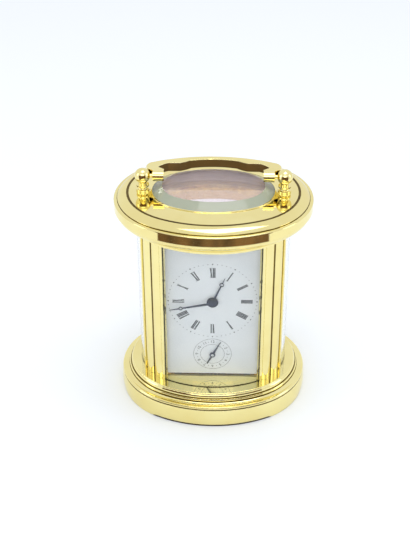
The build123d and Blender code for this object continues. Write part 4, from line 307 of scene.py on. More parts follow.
@dataclass(frozen=True)
class Glass:
    """Clear plate glass or cut stone, ground and polished.

    A few broad ripples keep reflections alive. The shader's own transmission does the rest. A bevel
    is ground by hand: it is a little milky, and its tone shows the green of the iron in plate glass.
    A face that looks up carries a thin haze of dust. Lamps shine through.
    """

    name: str
    tone: str
    bevel_tone: str
    index: float
    smooth: float
    ripple_mm: float
    ripple_depth_mm: float
    ripple_detail: float = 1.0
    ripple_share: float = 0.2
    bevel_rise: float = 0.876
    bevel_spread: float = 0.09
    bevel_clear: float = 0.52
    level_rise: float = 1.0
    level_spread: float = 0.02
    dust_tone: str = "#F0E4EA"
    dust_clear: float = 0.80
    shade: float = 0.06

    def build(self) -> bpy.types.Material:
        """Makes the material.

        Returns:
            The material.
        """
        material, tree = blank_material(self.name)
        place = add_node(tree, "TexCoord").outputs
        ripples = add_node(
            tree,
            "TexNoise",
            inputs={
                "Vector": place["Object"],
                "Scale": per_metre(self.ripple_mm),
                "Detail": self.ripple_detail,
            },
        ).outputs["Fac"]
        bump = add_node(
            tree,
            "Bump",
            inputs={
                "Height": ripples,
                "Strength": self.ripple_share,
                "Distance": self.ripple_depth_mm * MM,
            },
        ).outputs["Normal"]
        clean = add_node(
            tree,
            "MapRange",
            inputs={"Value": ripples, "To Min": self.smooth, "To Max": 2 * self.smooth},
        ).outputs["Result"]
        rise = add_node(tree, "SeparateXYZ", inputs={"Vector": place["Normal"]}).outputs["Z"]
        bevel, top = (
            add_node(
                tree, "Math", {"operation": "COMPARE"}, {0: rise, 1: middle, 2: spread}
            ).outputs["Value"]
            for middle, spread in (
                (self.bevel_rise, self.bevel_spread),
                (self.level_rise, self.level_spread),
            )
        )
        colour = linear(self.tone)
        for face, tone in ((bevel, self.bevel_tone), (top, self.dust_tone)):
            colours = {"Factor": face, FIRST: colour, SECOND: linear(tone)}
            colour = add_node(tree, "Mix", {"data_type": "RGBA"}, colours).outputs[MIXED]
        shadow = add_node(tree, "LightPath").outputs["Is Shadow Ray"]
        milky, dusty, solid = (
            add_node(
                tree, "MapRange", inputs={"Value": face, "To Min": 1.0, "To Max": left}
            ).outputs["Result"]
            for face, left in (
                (bevel, self.bevel_clear),
                (top, self.dust_clear),
                (shadow, self.shade),
            )
        )
        clear = add_node(
            tree, "Math", {"operation": "MULTIPLY"}, {0: milky, 1: dusty}
        ).outputs["Value"]
        shader = add_node(
            tree,
            "BsdfPrincipled",
            inputs={
                "Base Color": colour,
                "Roughness": clean,
                "IOR": self.index,
                "Transmission Weight": clear,
                "Alpha": solid,
                "Normal": bump,
            },
        )
        add_node(tree, "OutputMaterial", inputs={"Surface": shader.outputs["BSDF"]})
        return material


@dataclass(frozen=True)
class Coating:
    """A coat that hides what is under it, such as dial enamel, printing ink or stage paint."""

    name: str
    tone: str
    deep_tone: str
    patch_mm: float
    grain_mm: float
    smooth: float
    dull: float
    tone_ends: tuple[float, float] = (0.3, 0.6)
    relief_mm: float = 0.003
    relief_share: float = 0.3
    gloss_coat: float = 0.0

    def build(self) -> bpy.types.Material:
        """Makes the material.

        Returns:
            The material.
        """
        material, tree = blank_material(self.name)
        place = add_node(tree, "TexCoord").outputs["Object"]
        patches, grain = (
            add_node(
                tree,
                "TexNoise",
                inputs={"Vector": place, "Scale": per_metre(size_mm), "Detail": detail},
            ).outputs["Fac"]
            for size_mm, detail in ((self.patch_mm, PATCH_DETAIL), (self.grain_mm, GRAIN_DETAIL))
        )
        tones = add_node(tree, "ValToRGB", inputs={"Fac": patches})
        ramp_colours(tones, self.deep_tone, self.tone, self.tone_ends)
        roughness = add_node(
            tree,
            "MapRange",
            inputs={"Value": grain, "To Min": self.smooth, "To Max": self.dull},
        ).outputs["Result"]
        bump = add_node(
            tree,
            "Bump",
            inputs={"Height": grain, "Strength": self.relief_share, "Distance": self.relief_mm * MM},
        ).outputs["Normal"]
        shader = add_node(
            tree,
            "BsdfPrincipled",
            inputs={
                "Base Color": tones.outputs["Color"],
                "Roughness": roughness,
                "Coat Weight": self.gloss_coat,
                "Normal": bump,
            },
        )
        add_node(tree, "OutputMaterial", inputs={"Surface": shader.outputs["BSDF"]})
        return material


@dataclass(frozen=True)
class StagePaper:
    """White background paper: it takes the object's shadow and is white where nothing stands."""

    name: str
    tone: str
    glow_tone: str
    glow: float

    def build(self) -> bpy.types.Material:
        """Makes the material.

        Returns:
            The material.
        """
        material, tree = blank_material(self.name)
        path = add_node(tree, "LightPath").outputs
        seen = path["Is Camera Ray"]
        for kind in ("Is Glossy Ray", "Is Transmission Ray"):
            seen = add_node(
                tree, "Math", {"operation": "MAXIMUM"}, {0: seen, 1: path[kind]}
            ).outputs["Value"]
        glow = add_node(
            tree, "Math", {"operation": "MULTIPLY"}, {0: seen, 1: self.glow}
        ).outputs["Value"]
        lamp = add_node(
            tree, "Emission", inputs={"Color": linear(self.glow_tone), "Strength": glow}
        ).outputs["Emission"]
        paper = add_node(
            tree, "BsdfDiffuse", inputs={"Color": linear(self.tone)}
        ).outputs["BSDF"]
        both = add_node(tree, "AddShader", inputs={0: paper, 1: lamp}).outputs["Shader"]
        add_node(tree, "OutputMaterial", inputs={"Surface": both})
        return material


Finish = Metal | Glass | Coating | StagePaper


# Cast brass, turned, polished and lacquered: pale gold with mirror-like, slightly wavy reflections.
CASE_BRASS = Metal(
    name="lacquered_mirror_polished_brass",
    tone="#F6E9A6",
    deep_tone="#F0DF97",
    edge_tone="#FFF5C8",
    groove_tone="#5C4818",
    smooth=0.035,
    dull=0.085,
    patch_mm=26.0,
    grain_mm=3.2,
)

# Rolled brass plate, grained and gilt: a warmer, satin yellow.
PLATE_BRASS = Metal(
    name="grained_gilt_brass_plate",
    tone="#E2C070",
    deep_tone="#CFA755",
    edge_tone="#F3DB97",
    groove_tone="#3C2A10",
    smooth=0.20,
    dull=0.34,
    patch_mm=14.0,
    grain_mm=0.5,
    grain_stretch=(1.0, 1.0, 0.12),
    relief_share=0.3,
)

# Dark olive brown brass for the lines in the corners, joint and reeds of the case: painted shade, half
# dull.
GROOVE_SHADE_BRASS = Metal(
    name="painted_shade_brass_in_grooves",
    tone="#6E5A22",
    deep_tone="#4C3B12",
    edge_tone="#806A2E",
    groove_tone="#2A1F08",
    smooth=0.25,
    dull=0.45,
    patch_mm=4.0,
    grain_mm=0.3,
    edge_mm=0.05,
)

# Brass on the cornice's inner wall: a dull beige brown that is painted shade inside the case, rough, so
# it mirrors nothing.
INNER_WALL_SHADE_BRASS = Metal(
    name="inner_wall_brass_painted_shade",
    tone="#B9A28E",
    deep_tone="#96826F",
    edge_tone="#C9B49E",
    groove_tone="#4A3B2C",
    smooth=0.45,
    dull=0.65,
    patch_mm=7.0,
    grain_mm=0.7,
    relief_mm=0.05,
    relief_share=0.5,
)

# Carbon steel heated to blue: nearly black from the front, blue where it mirrors light.
BLUE_STEEL = Metal(
    name="heat_blued_polished_steel",
    tone="#2B3448",
    deep_tone="#232A3B",
    edge_tone="#4C5D7E",
    groove_tone="#10131B",
    smooth=0.12,
    dull=0.22,
    patch_mm=6.0,
    grain_mm=0.8,
    edge_mm=0.08,
)

# Turned and burnished steel: grey-white, with faint tool lines.
STEEL = Metal(
    name="burnished_turned_steel",
    tone="#C9CBCF",
    deep_tone="#B4B7BD",
    edge_tone="#E4E6EA",
    groove_tone="#3A3B3E",
    smooth=0.12,
    dull=0.24,
    patch_mm=9.0,
    grain_mm=0.6,
    grain_stretch=(1.0, 0.15, 1.0),
    edge_mm=0.10,
)

# Ground and polished plate glass, green at its bevels.
CLOCK_GLASS = Glass(
    name="bevelled_plate_glass",
    tone="#FDFFFE",
    bevel_tone="#BAC4A8",
    index=1.52,
    smooth=0.002,
    ripple_mm=30.0,
    ripple_depth_mm=0.01,
)

# Synthetic ruby, cut and polished: small deep red stones.
RUBY = Glass(
    name="polished_synthetic_ruby",
    tone="#D3284B",
    bevel_tone="#D3284B",
    index=1.77,
    smooth=0.02,
    ripple_mm=2.0,
    ripple_depth_mm=0.002,
)

# White lacquer on brass, polished flat: a cool white with hardly any texture.
DIAL_WHITE = Coating(
    name="polished_white_dial_lacquer",
    tone="#F6F8FB",
    deep_tone="#EFF2F6",
    patch_mm=18.0,
    grain_mm=0.5,
    smooth=0.22,
    dull=0.32,
    gloss_coat=0.2,
)

# Printing ink, pad printed and stoved: a soft black, a little uneven in its gloss.
DIAL_INK = Coating(
    name="stoved_black_dial_ink",
    tone="#23262E",
    deep_tone="#1A1D24",
    patch_mm=1.5,
    grain_mm=0.2,
    smooth=0.35,
    dull=0.55,
)

# Dark brown felt strips under the foot, in its arches: painted shade in the dark gap there, matt, with
# a fine nap.
FOOT_ARCH_SHADE = Coating(
    name="dark_brown_felt_painted_shade",
    tone="#3B2C22",
    deep_tone="#2A1E17",
    patch_mm=5.0,
    grain_mm=0.25,
    smooth=0.85,
    dull=0.98,
    relief_mm=0.08,
)

# Matt dark brown card: it is seen in reflections alone, where it gives polished metal its dark parts.
DARK_CARD = Coating(
    name="matt_dark_brown_card",
    tone="#75553A",
    deep_tone="#261A10",
    patch_mm=75.0,
    grain_mm=2.0,
    smooth=0.8,
    dull=0.9,
)

# Matt white background paper: it takes a soft shadow and mirrors nothing.
PAPER = StagePaper(
    name="matt_white_background_paper",
    tone="#ECEFF2",
    glow_tone="#F7FAFF",
    glow=0.05,
)

SLOT_FINISH: dict[Slot, Finish] = {
    Slot.POLISHED_BRASS: CASE_BRASS,
    Slot.MOVEMENT_BRASS: PLATE_BRASS,
    Slot.BEVELLED_GLASS: CLOCK_GLASS,
    Slot.WHITE_DIAL: DIAL_WHITE,
    Slot.BLUED_STEEL: BLUE_STEEL,
    Slot.BRIGHT_STEEL: STEEL,
    Slot.RED_JEWEL: RUBY,
}


class Wardrobe:
    """All finishes, each made once, and the ways to put them on nodes and pieces."""

    def __init__(self) -> None:
        """Starts with no material made."""
        self.made: dict[str, bpy.types.Material] = {}

    def material(self, finish: Finish) -> bpy.types.Material:
        """Gives a finish's material, and makes it at the first call.

        Args:
            finish: one of the finishes above.

        Returns:
            Its material.
        """
        if finish.name not in self.made:
            self.made[finish.name] = finish.build()
        return self.made[finish.name]

    def dress(self, piece: bpy.types.Object, finish: Finish) -> None:
        """Puts one finish on the whole of a piece.

        Args:
            piece: the object.
            finish: the finish.
        """
        material = self.material(finish)
        if not piece.material_slots:
            piece.data.materials.append(material)
        for place in piece.material_slots:
            place.material = material

    def dress_frame(self, frame: dict[str, Any]) -> None:
        """Gives every CAD node the finish of its slot in the record.
        """
        for part in frame["record"]["subparts"]:
            finish = SLOT_FINISH[Slot(part["material_slot"])]
            self.dress(frame["nodes"][part["node"]], finish)
            log.info("dressed %s in %s", part["node"], finish.name)


def as_object(name: str, mesh: bmesh.types.BMesh) -> bpy.types.Object:
    """Makes an object of a bmesh and links it to the scene.

    Args:
        name: the object's name.
        mesh: its shape, in metres in the frame; it is freed.

    Returns:
        The object.
    """
    data = bpy.data.meshes.new(name)
    mesh.to_mesh(data)
    mesh.free()
    made = bpy.data.objects.new(name, data)
    bpy.context.scene.collection.objects.link(made)
    return made


def as_piece(name: str, mesh: bmesh.types.BMesh, body: str) -> bpy.types.Object:
    """Makes a finished object of a bmesh and sets it on its body.

    Args:
        name: the piece's name.
        mesh: its shape, in metres in the frame; it is freed.
        body: the CAD body that it rides on.

    Returns:
        The object.
    """
    bmesh.ops.remove_doubles(mesh, verts=mesh.verts, dist=WELD)
    bmesh.ops.recalc_face_normals(mesh, faces=mesh.faces)
    piece = as_object(name, mesh)
    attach(piece, body)
    log.info("built %s: %d faces on %s", name, len(piece.data.polygons), body)
    return piece


def add_block(mesh: bmesh.types.BMesh, size: Vector, place: Matrix) -> None:
    """Adds a block to a bmesh.

    Args:
        mesh: the bmesh.
        size: its width, depth and height.
        place: where its middle goes.
    """
    scaled = place @ Matrix.Diagonal((size.x, size.y, size.z, 1.0))
    bmesh.ops.create_cube(mesh, size=1.0, matrix=scaled)


def spin(
    mesh: bmesh.types.BMesh,
    points: list[Vector],
    centre: Vector,
    axis: tuple[float, float, float],
    angle: float,
    steps: int,
    closed: bool = False,
) -> None:
    """Spins a line, or a closed section, round an axis.

    Args:
        mesh: the bmesh that the surface goes into.
        points: the corners of the line or section.
        centre: a point of the axis.
        axis: its direction.
        angle: how far it turns; the ends of a full turn are joined.
        steps: parts of that turn.
        closed: whether the last corner is joined to the first.
    """
    line = [mesh.verts.new(point) for point in points]
    ahead = line[1:] + line[:1] if closed else line[1:]
    edges = [mesh.edges.new(pair) for pair in zip(line, ahead)]
    bmesh.ops.spin(
        mesh,
        geom=line + edges,
        cent=centre,
        axis=axis,
        angle=angle,
        steps=steps,
        use_merge=angle == math.tau,
    )


def add_turned(
    mesh: bmesh.types.BMesh,
    centre: Vector,
    profile: list[tuple[float, float]],
    steps: int,
    closed: bool = False,
) -> None:
    """Adds a turned piece whose axis points out of the dial.

    Args:
        mesh: the bmesh.
        centre: the middle of the piece's back.
        profile: radius and height pairs, the height forward of the back.
        steps: parts of the full turn.
        closed: whether the profile is the whole section of a ring.
    """
    points = [centre + Vector((radius, -height, 0.0)) for radius, height in profile]
    spin(mesh, points, centre, Y_AXIS, math.tau, steps, closed)


def in_front(node: str, front: float) -> Vector:
    """Gives the point in front of a node's middle, at a given place along Y."""
    low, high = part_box(node)
    return Vector(((low.x + high.x) / 2, front, (low.z + high.z) / 2))


def rectangle(near: float, far: float, low: float, high: float) -> list[tuple[float, float]]:
    """Gives a section with four corners, from two insets or radii and two heights."""
    return [(near, low), (far, low), (far, high), (near, high)]


@dataclass(frozen=True)
class Arc:
    """A stretch of the case's outline in plan."""

    middle: Vector
    radius: float
    start: float
    swing: float


@dataclass(frozen=True)
class OvalPlan:
    """The case's outline in plan: two small end arcs and two large arcs, front and back."""

    end_radius: float = 38.6 * MM
    steps: int = 20

    @property
    def half(self) -> tuple[float, float]:
        """The outline's half width and half depth, from the cornice's box."""
        low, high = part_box("top_cornice")
        return (high.x - low.x) / 2, (high.y - low.y) / 2

    def arcs(self) -> list[Arc]:
        """Works out the four arcs.

        Returns:
            The right, back, left and front arc.
        """
        wide, deep = self.half
        across = wide - self.end_radius
        off = (across**2 - (deep - self.end_radius) ** 2) / (2 * (deep - self.end_radius))
        long = deep + off
        join = math.atan2(off, across)
        swing = math.pi - 2 * join
        return [
            Arc(Vector((across, 0.0, 0.0)), self.end_radius, -join, 2 * join),
            Arc(Vector((0.0, -off, 0.0)), long, join, swing),
            Arc(Vector((-across, 0.0, 0.0)), self.end_radius, math.pi - join, 2 * join),
            Arc(Vector((0.0, off, 0.0)), long, math.pi + join, swing),
        ]

    def carry(
        self, mesh: bmesh.types.BMesh, section: list[tuple[float, float]], arc: Arc
    ) -> None:
        """Spins a closed section along one arc of the outline.

        Args:
            mesh: the bmesh.
            section: corners as inset from the outline and height.
            arc: the arc.
        """
        outward = Vector((math.cos(arc.start), math.sin(arc.start), 0.0))
        corners = [
            arc.middle + outward * (arc.radius - inset) + Vector((0.0, 0.0, height))
            for inset, height in section
        ]
        spin(mesh, corners, arc.middle, Z_AXIS, arc.swing, self.steps, closed=True)

    def ring(self, *sections: list[tuple[float, float]]) -> bmesh.types.BMesh:
        """Carries closed sections all round the outline.

        Args:
            sections: each the corners of one section, as inset and height.

        Returns:
            The rings.
        """
        mesh = bmesh.new()
        for section in sections:
            for arc in self.arcs():
                self.carry(mesh, section, arc)
        return mesh


@dataclass
class CaseFittings:
    """Dark pieces of painted shade on the case: lines in its grooves, a skin on its inner wall and felt
    strips in its foot.
    """

    plan: OvalPlan = field(default_factory=OvalPlan)
    # A skin of painted shade on the cornice's inner wall.
    skin: float = 0.15 * MM
    wall_inset: float = 9.6 * MM
    wall_low: float = 104.7 * MM
    wall_high: float = 116.5 * MM
    # Dark lines of painted shade in the corners of the mouldings, the plate's joint and the pillars'
    # reeds.
    step_inset: float = 1.9 * MM
    step_height: float = 116.3 * MM
    joint_inset: float = 7.0 * MM
    joint_half: float = 0.62 * MM
    joint_depth: float = 0.15 * MM
    joint_rise: float = 0.015 * MM
    plinth_inset: float = 0.95 * MM
    plinth_height: float = 10.3 * MM
    roll_inset: float = 4.4 * MM
    roll_height: float = 13.1 * MM
    neck_inset: float = 5.2 * MM
    neck_height: float = 14.7 * MM
    fillet: float = 0.50 * MM
    step_fillet: float = 0.30 * MM
    fillet_edge: float = 0.075 * MM
    fillet_waist_share: float = 1 / 3
    groove_radius: float = 27.14 * MM
    groove_angle: float = math.radians(44.0)
    groove_size: Vector = field(default_factory=lambda: Vector((0.16, 0.95, 83.3)) * MM)
    pillar_foot: float = 17.5 * MM
    # Strips of painted shade in the arches of the foot.
    felt_outer: float = 0.56 * MM
    felt_inner: float = 6.6 * MM
    felt_height: float = 1.05 * MM
    felt_corner: float = math.radians(5.0)
    felt_weld: float = 0.0015 * MM

    def corner_fill(self, inset: float, height: float, size: float) -> list[tuple[float, float]]:
        """Gives the section of a dark line of painted shade in a step's corner.

        Args:
            inset: the riser's inset.
            height: the tread's height.
            size: how far it reaches along each.

        Returns:
            Its corners.
        """
        waist = size * self.fillet_waist_share
        return [
            (inset - size, height),
            (inset, height),
            (inset, height + size),
            (inset - self.fillet_edge, height + size),
            (inset - waist, height + waist),
            (inset - size, height + self.fillet_edge),
        ]

    def residue(self) -> bmesh.types.BMesh:
        """Makes the dark lines of painted shade round the mouldings.

        Returns:
            The line in the top plate's joint and those in four corners.
        """
        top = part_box("top_cornice")[1].z
        joint = [
            (self.joint_inset - self.joint_half, top + self.joint_rise),
            (self.joint_inset, top - self.joint_depth),
            (self.joint_inset + self.joint_half, top + self.joint_rise),
        ]
        corners = (
            (self.step_inset, self.step_height, self.step_fillet),
            (self.plinth_inset, self.plinth_height, self.step_fillet),
            (self.roll_inset, self.roll_height, self.fillet),
            (self.neck_inset, self.neck_height, self.fillet),
        )
        return self.plan.ring(joint, *(self.corner_fill(*corner) for corner in corners))

    def pillar_lines(self) -> bmesh.types.BMesh:
        """Makes the dark lines of painted shade between the reeds of the four pillars.

        Returns:
            One upright line on each pillar.
        """
        mesh = bmesh.new()
        across = self.plan.half[0] - self.plan.end_radius
        height = self.pillar_foot + self.groove_size.z / 2
        over, along = math.cos(self.groove_angle), math.sin(self.groove_angle)
        for side in (-1, 1):
            for end in (-1, 1):
                place = (
                    Matrix.Translation((side * across, 0.0, height))
                    @ Matrix.Rotation(math.atan2(end * along, side * over), 4, "Z")
                    @ Matrix.Translation((self.groove_radius, 0.0, 0.0))
                )
                add_block(mesh, self.groove_size, place)
        return mesh

    def raw_wall(self) -> bmesh.types.BMesh:
        """Makes the skin of the cornice's inner wall, whose dull tone is painted shade inside the case.
        """
        inset = self.wall_inset
        return self.plan.ring(rectangle(inset, inset + self.skin, self.wall_low, self.wall_high))

    def felt(self) -> bmesh.types.BMesh:
        """Makes the two felt strips of painted shade that close the shallow arches of the foot.

        Returns:
            The front and the back strip, each with its two ends round the corners.
        """
        mesh = bmesh.new()
        section = rectangle(self.felt_outer, self.felt_inner, 0.0, self.felt_height)
        outline = self.plan.arcs()
        arcs = outline[1::2]
        corner = self.felt_corner
        for arc in outline[::2]:
            last = arc.start + arc.swing - corner
            arcs += [replace(arc, swing=corner), replace(arc, start=last, swing=corner)]
        for arc in arcs:
            self.plan.carry(mesh, section, arc)
        bmesh.ops.remove_doubles(mesh, verts=mesh.verts, dist=self.felt_weld)
        bmesh.ops.holes_fill(mesh, edges=[edge for edge in mesh.edges if edge.is_boundary])
        return mesh

    def build(self, wardrobe: Wardrobe) -> None:
        """Builds and dresses the fittings.

        Args:
            wardrobe: the finishes.
        """
        # All four fittings are dark pieces that paint shade on the case.
        fittings = {
            "moulding_shade_lines": (self.residue(), GROOVE_SHADE_BRASS),
            "pillar_shade_lines": (self.pillar_lines(), GROOVE_SHADE_BRASS),
            "cornice_inner_wall_shade": (self.raw_wall(), INNER_WALL_SHADE_BRASS),
            "foot_arch_shade_strips": (self.felt(), FOOT_ARCH_SHADE),
        }
        for name, (mesh, finish) in fittings.items():
            wardrobe.dress(as_piece(name, mesh, CASE), finish)


@dataclass
class HandCollet:
    """The blued domed collet that holds the minute hand on its pipe."""

    radius: float = 2.2 * MM
    rim: float = 0.18 * MM
    rise: float = 0.55 * MM
    steps: int = 40
    rings: int = 6

    def profile(self) -> list[tuple[float, float]]:
        """Works out the collet's profile.

        Returns:
            Radius and height pairs, from the middle of its back to the middle of its front.
        """
        climb = self.rise - self.rim
        angles = [k * math.pi / 2 / self.rings for k in range(self.rings)]
        dome = [(self.radius * math.cos(a), self.rim + climb * math.sin(a)) for a in angles]
        return [(0.0, 0.0), (self.radius, 0.0), *dome, (0.0, self.rise)]

    def build(self, wardrobe: Wardrobe) -> None:
        """Builds and blues the collet.

        Args:
            wardrobe: the finishes.
        """
        mesh = bmesh.new()
        centre = in_front("cannon_pinion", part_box("minute_hand")[0].y)
        add_turned(mesh, centre, self.profile(), self.steps)
        piece = as_piece("minute_hand_collet", mesh, "centre_body")
        wardrobe.dress(piece, BLUE_STEEL)
        for face in piece.data.polygons:
            face.use_smooth = True


@dataclass
class DialPrint:
    """Figures, dots and lines printed on the white dial."""

    print_depth: float = 0.03 * MM
    dot_radius: float = 22.4 * MM
    dot_size: float = 0.20 * MM
    hour_dot_size: float = 0.34 * MM
    figure_foot: float = 14.4 * MM
    figure_head: float = 20.2 * MM
    thick_stroke: float = 0.60 * MM
    thin_stroke: float = 0.16 * MM
    serif_depth: float = 0.14 * MM
    upright_width: float = 0.74 * MM
    vee_width: float = 1.35 * MM
    cross_width: float = 1.50 * MM
    alarm_outer: float = 9.9 * MM
    alarm_inner: float = 6.3 * MM
    alarm_line: float = 0.14 * MM
    alarm_figure_radius: float = 8.0 * MM
    alarm_figure_height: float = 2.3 * MM
    alarm_dot_size: float = 0.18 * MM
    ring_steps: int = 96
    dot_steps: int = 10
    minute_count: int = 60
    minutes_per_hour: int = 5
    alarm_hours: int = 12
    alarm_marks_per_hour: int = 2
    alarm_figure_steps: int = 3
    figures: tuple[str, ...] = (
        "XII", "I", "II", "III", "IIII", "V", "VI", "VII", "VIII", "IX", "X", "XI",
    )
    front: float = field(init=False)
    centre: Vector = field(init=False)
    alarm_centre: Vector = field(init=False)

    def __post_init__(self) -> None:
        """Reads the dial's front and its two centres from the frame."""
        self.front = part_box("dial_plate")[0].y
        self.centre = in_front("cannon_pinion", self.front)
        self.alarm_centre = in_front("alarm_arbor", self.front)

    def turned(self, centre: Vector, angle: float, out: float) -> Matrix:
        """Gives the place of a mark on a round track.

        Args:
            centre: the track's middle.
            angle: clockwise from twelve, in radians, seen from the front.
            out: distance from the middle.

        Returns:
            A matrix whose Z axis points outwards and whose X axis points clockwise.
        """
        return (
            Matrix.Translation(centre)
            @ Matrix.Rotation(angle, 4, "Y")
            @ Matrix.Translation((0.0, -self.print_depth / 2, out))
        )

    def dots(
        self,
        mesh: bmesh.types.BMesh,
        centre: Vector,
        count: int,
        out: float,
        size: Callable[[int], float],
    ) -> None:
        """Adds a ring of round dots.

        Args:
            mesh: the bmesh.
            centre: the ring's middle.
            count: how many dots the full ring has.
            out: the ring's radius.
            size: gives each dot's radius by its number, zero for none.
        """
        face_front = Matrix.Rotation(math.pi / 2, 4, "X")
        for number in range(count):
            radius = size(number)
            if radius > 0.0:
                place = self.turned(centre, math.tau * number / count, out) @ face_front
                bmesh.ops.create_cone(
                    mesh,
                    cap_ends=True,
                    segments=self.dot_steps,
                    radius1=radius,
                    radius2=radius,
                    depth=self.print_depth,
                    matrix=place,
                )

    def stroke(
        self, mesh: bmesh.types.BMesh, place: Matrix, foot: float, head: float, width: float
    ) -> None:
        """Adds one stroke of a figure, with its serifs.

        Args:
            mesh: the bmesh.
            place: the figure's place, its Z axis along the figure.
            foot: sideways place of the stroke's foot.
            head: sideways place of its head.
            width: its width.
        """
        height = self.figure_head - self.figure_foot
        lean = math.atan2(head - foot, height)
        length = height / math.cos(lean) - 2 * self.serif_depth
        middle = place @ Matrix.Translation(((foot + head) / 2, 0.0, 0.0))
        size = Vector((width, self.print_depth, length))
        add_block(mesh, size, middle @ Matrix.Rotation(lean, 4, "Y"))
        for side, at in ((-1, foot), (1, head)):
            ends = place @ Matrix.Translation((at, 0.0, side * (height - self.serif_depth) / 2))
            span = width + 2 * self.thin_stroke
            add_block(mesh, Vector((span, self.print_depth, self.serif_depth)), ends)

    def figure(self, mesh: bmesh.types.BMesh, place: Matrix, text: str) -> None:
        """Adds a Roman figure, its letters side by side.

        Args:
            mesh: the bmesh.
            place: the middle of the figure.
            text: letters I, V and X.
        """
        widths = {"I": self.upright_width, "V": self.vee_width, "X": self.cross_width}
        left = -sum(widths[letter] for letter in text) / 2
        for letter in text:
            wide = widths[letter]
            middle, reach = left + wide / 2, (wide - self.upright_width) / 2
            if letter == "I":
                self.stroke(mesh, place, middle, middle, self.thick_stroke)
            elif letter == "V":
                self.stroke(mesh, place, middle, middle - reach, self.thick_stroke)
                self.stroke(mesh, place, middle, middle + reach, self.thin_stroke)
            else:
                self.stroke(mesh, place, middle + reach, middle - reach, self.thick_stroke)
                self.stroke(mesh, place, middle - reach, middle + reach, self.thin_stroke)
            left += wide

    def hours(self) -> bmesh.types.BMesh:
        """Makes the ring of Roman figures, their feet towards the centre.

        Returns:
            The figures.
        """
        mesh = bmesh.new()
        middle = (self.figure_foot + self.figure_head) / 2
        for number, text in enumerate(self.figures):
            angle = math.tau * number / len(self.figures)
            self.figure(mesh, self.turned(self.centre, angle, middle), text)
        return mesh

    def minutes(self) -> bmesh.types.BMesh:
        """Makes the minute track.

        Returns:
            Its dots, larger at the hours.
        """
        mesh = bmesh.new()
        self.dots(
            mesh,
            self.centre,
            self.minute_count,
            self.dot_radius,
            lambda number: self.dot_size if number % self.minutes_per_hour else self.hour_dot_size,
        )
        return mesh

    def alarm_track(self) -> bmesh.types.BMesh:
        """Makes the alarm dial's two circles and the dots between its figures.

        Returns:
            The circles and dots.
        """
        mesh = bmesh.new()
        for radius in (self.alarm_inner, self.alarm_outer):
            section = rectangle(radius - self.alarm_line, radius, 0.0, self.print_depth)
            add_turned(mesh, self.alarm_centre, section, self.ring_steps, closed=True)
        self.dots(
            mesh,
            self.alarm_centre,
            self.alarm_hours * self.alarm_marks_per_hour,
            self.alarm_figure_radius,
            lambda number: self.alarm_dot_size if number % self.alarm_marks_per_hour else 0.0,
        )
        return mesh

    def alarm_figures(self) -> bmesh.types.BMesh:
        """Makes the alarm dial's figures from 1 to 12, their feet towards its centre.

        Returns:
            The figures.
        """
        mesh = bmesh.new()
        stand = Matrix.Rotation(math.pi / 2, 4, "X")
        for number in range(1, self.alarm_hours + 1):
            flat = bpy.data.curves.new("figure", "FONT")
            flat.body, flat.size = str(number), self.alarm_figure_height
            flat.align_x, flat.align_y = "CENTER", "CENTER"
            flat.extrude, flat.resolution_u = self.print_depth / 2, self.alarm_figure_steps
            holder = bpy.data.objects.new("figure", flat)
            shape = bpy.data.meshes.new_from_object(holder)
            angle = math.tau * number / self.alarm_hours
            shape.transform(self.turned(self.alarm_centre, angle, self.alarm_figure_radius) @ stand)
            mesh.from_mesh(shape)
            bpy.data.objects.remove(holder)
            bpy.data.curves.remove(flat)
            bpy.data.meshes.remove(shape)
        return mesh

    def build(self, wardrobe: Wardrobe) -> None:
        """Builds and inks all that is printed on the dial.

        Args:
            wardrobe: the finishes.
        """
        prints = {
            "printed_hour_figures": self.hours(),
            "printed_minute_dots": self.minutes(),
            "printed_alarm_track": self.alarm_track(),
            "printed_alarm_figures": self.alarm_figures(),
        }
        for name, mesh in prints.items():
            wardrobe.dress(as_piece(name, mesh, CASE), DIAL_INK)


@dataclass(frozen=True)
class SoftBox:
    """A lamp with a wide soft front, which is seen as plain white at a glow of 1."""

    name: str
    place: Vector
    size: tuple[float, float]
    glow: float

    def hang(self, aim: Vector) -> None:
        """Hangs the lamp.

        Args:
            aim: the point that it faces.
        """
        data = bpy.data.lights.new(self.name, "AREA")
        data.shape = "RECTANGLE"
        data.size, data.size_y = self.size
        data.energy = self.glow * math.pi * self.size[0] * self.size[1]
        lamp = bpy.data.objects.new(self.name, data)
        lamp.location = self.place
        lamp.rotation_euler = (aim - self.place).to_track_quat("-Z", "Y").to_euler()
        bpy.context.scene.collection.objects.link(lamp)


SIDE_BOX = (300.0 * MM, 500.0 * MM)
SOFT_BOXES = (
    SoftBox("front_box", Vector((0.0, -900.0, 640.0)) * MM, (760.0 * MM, 560.0 * MM), 1.25),
    SoftBox("top_box", Vector((60.0, -60.0, 900.0)) * MM, (520.0 * MM, 420.0 * MM), 2.4),
    SoftBox("left_box", Vector((-900.0, -250.0, 420.0)) * MM, SIDE_BOX, 1.6),
    SoftBox("right_box", Vector((900.0, -150.0, 420.0)) * MM, SIDE_BOX, 1.6),
)


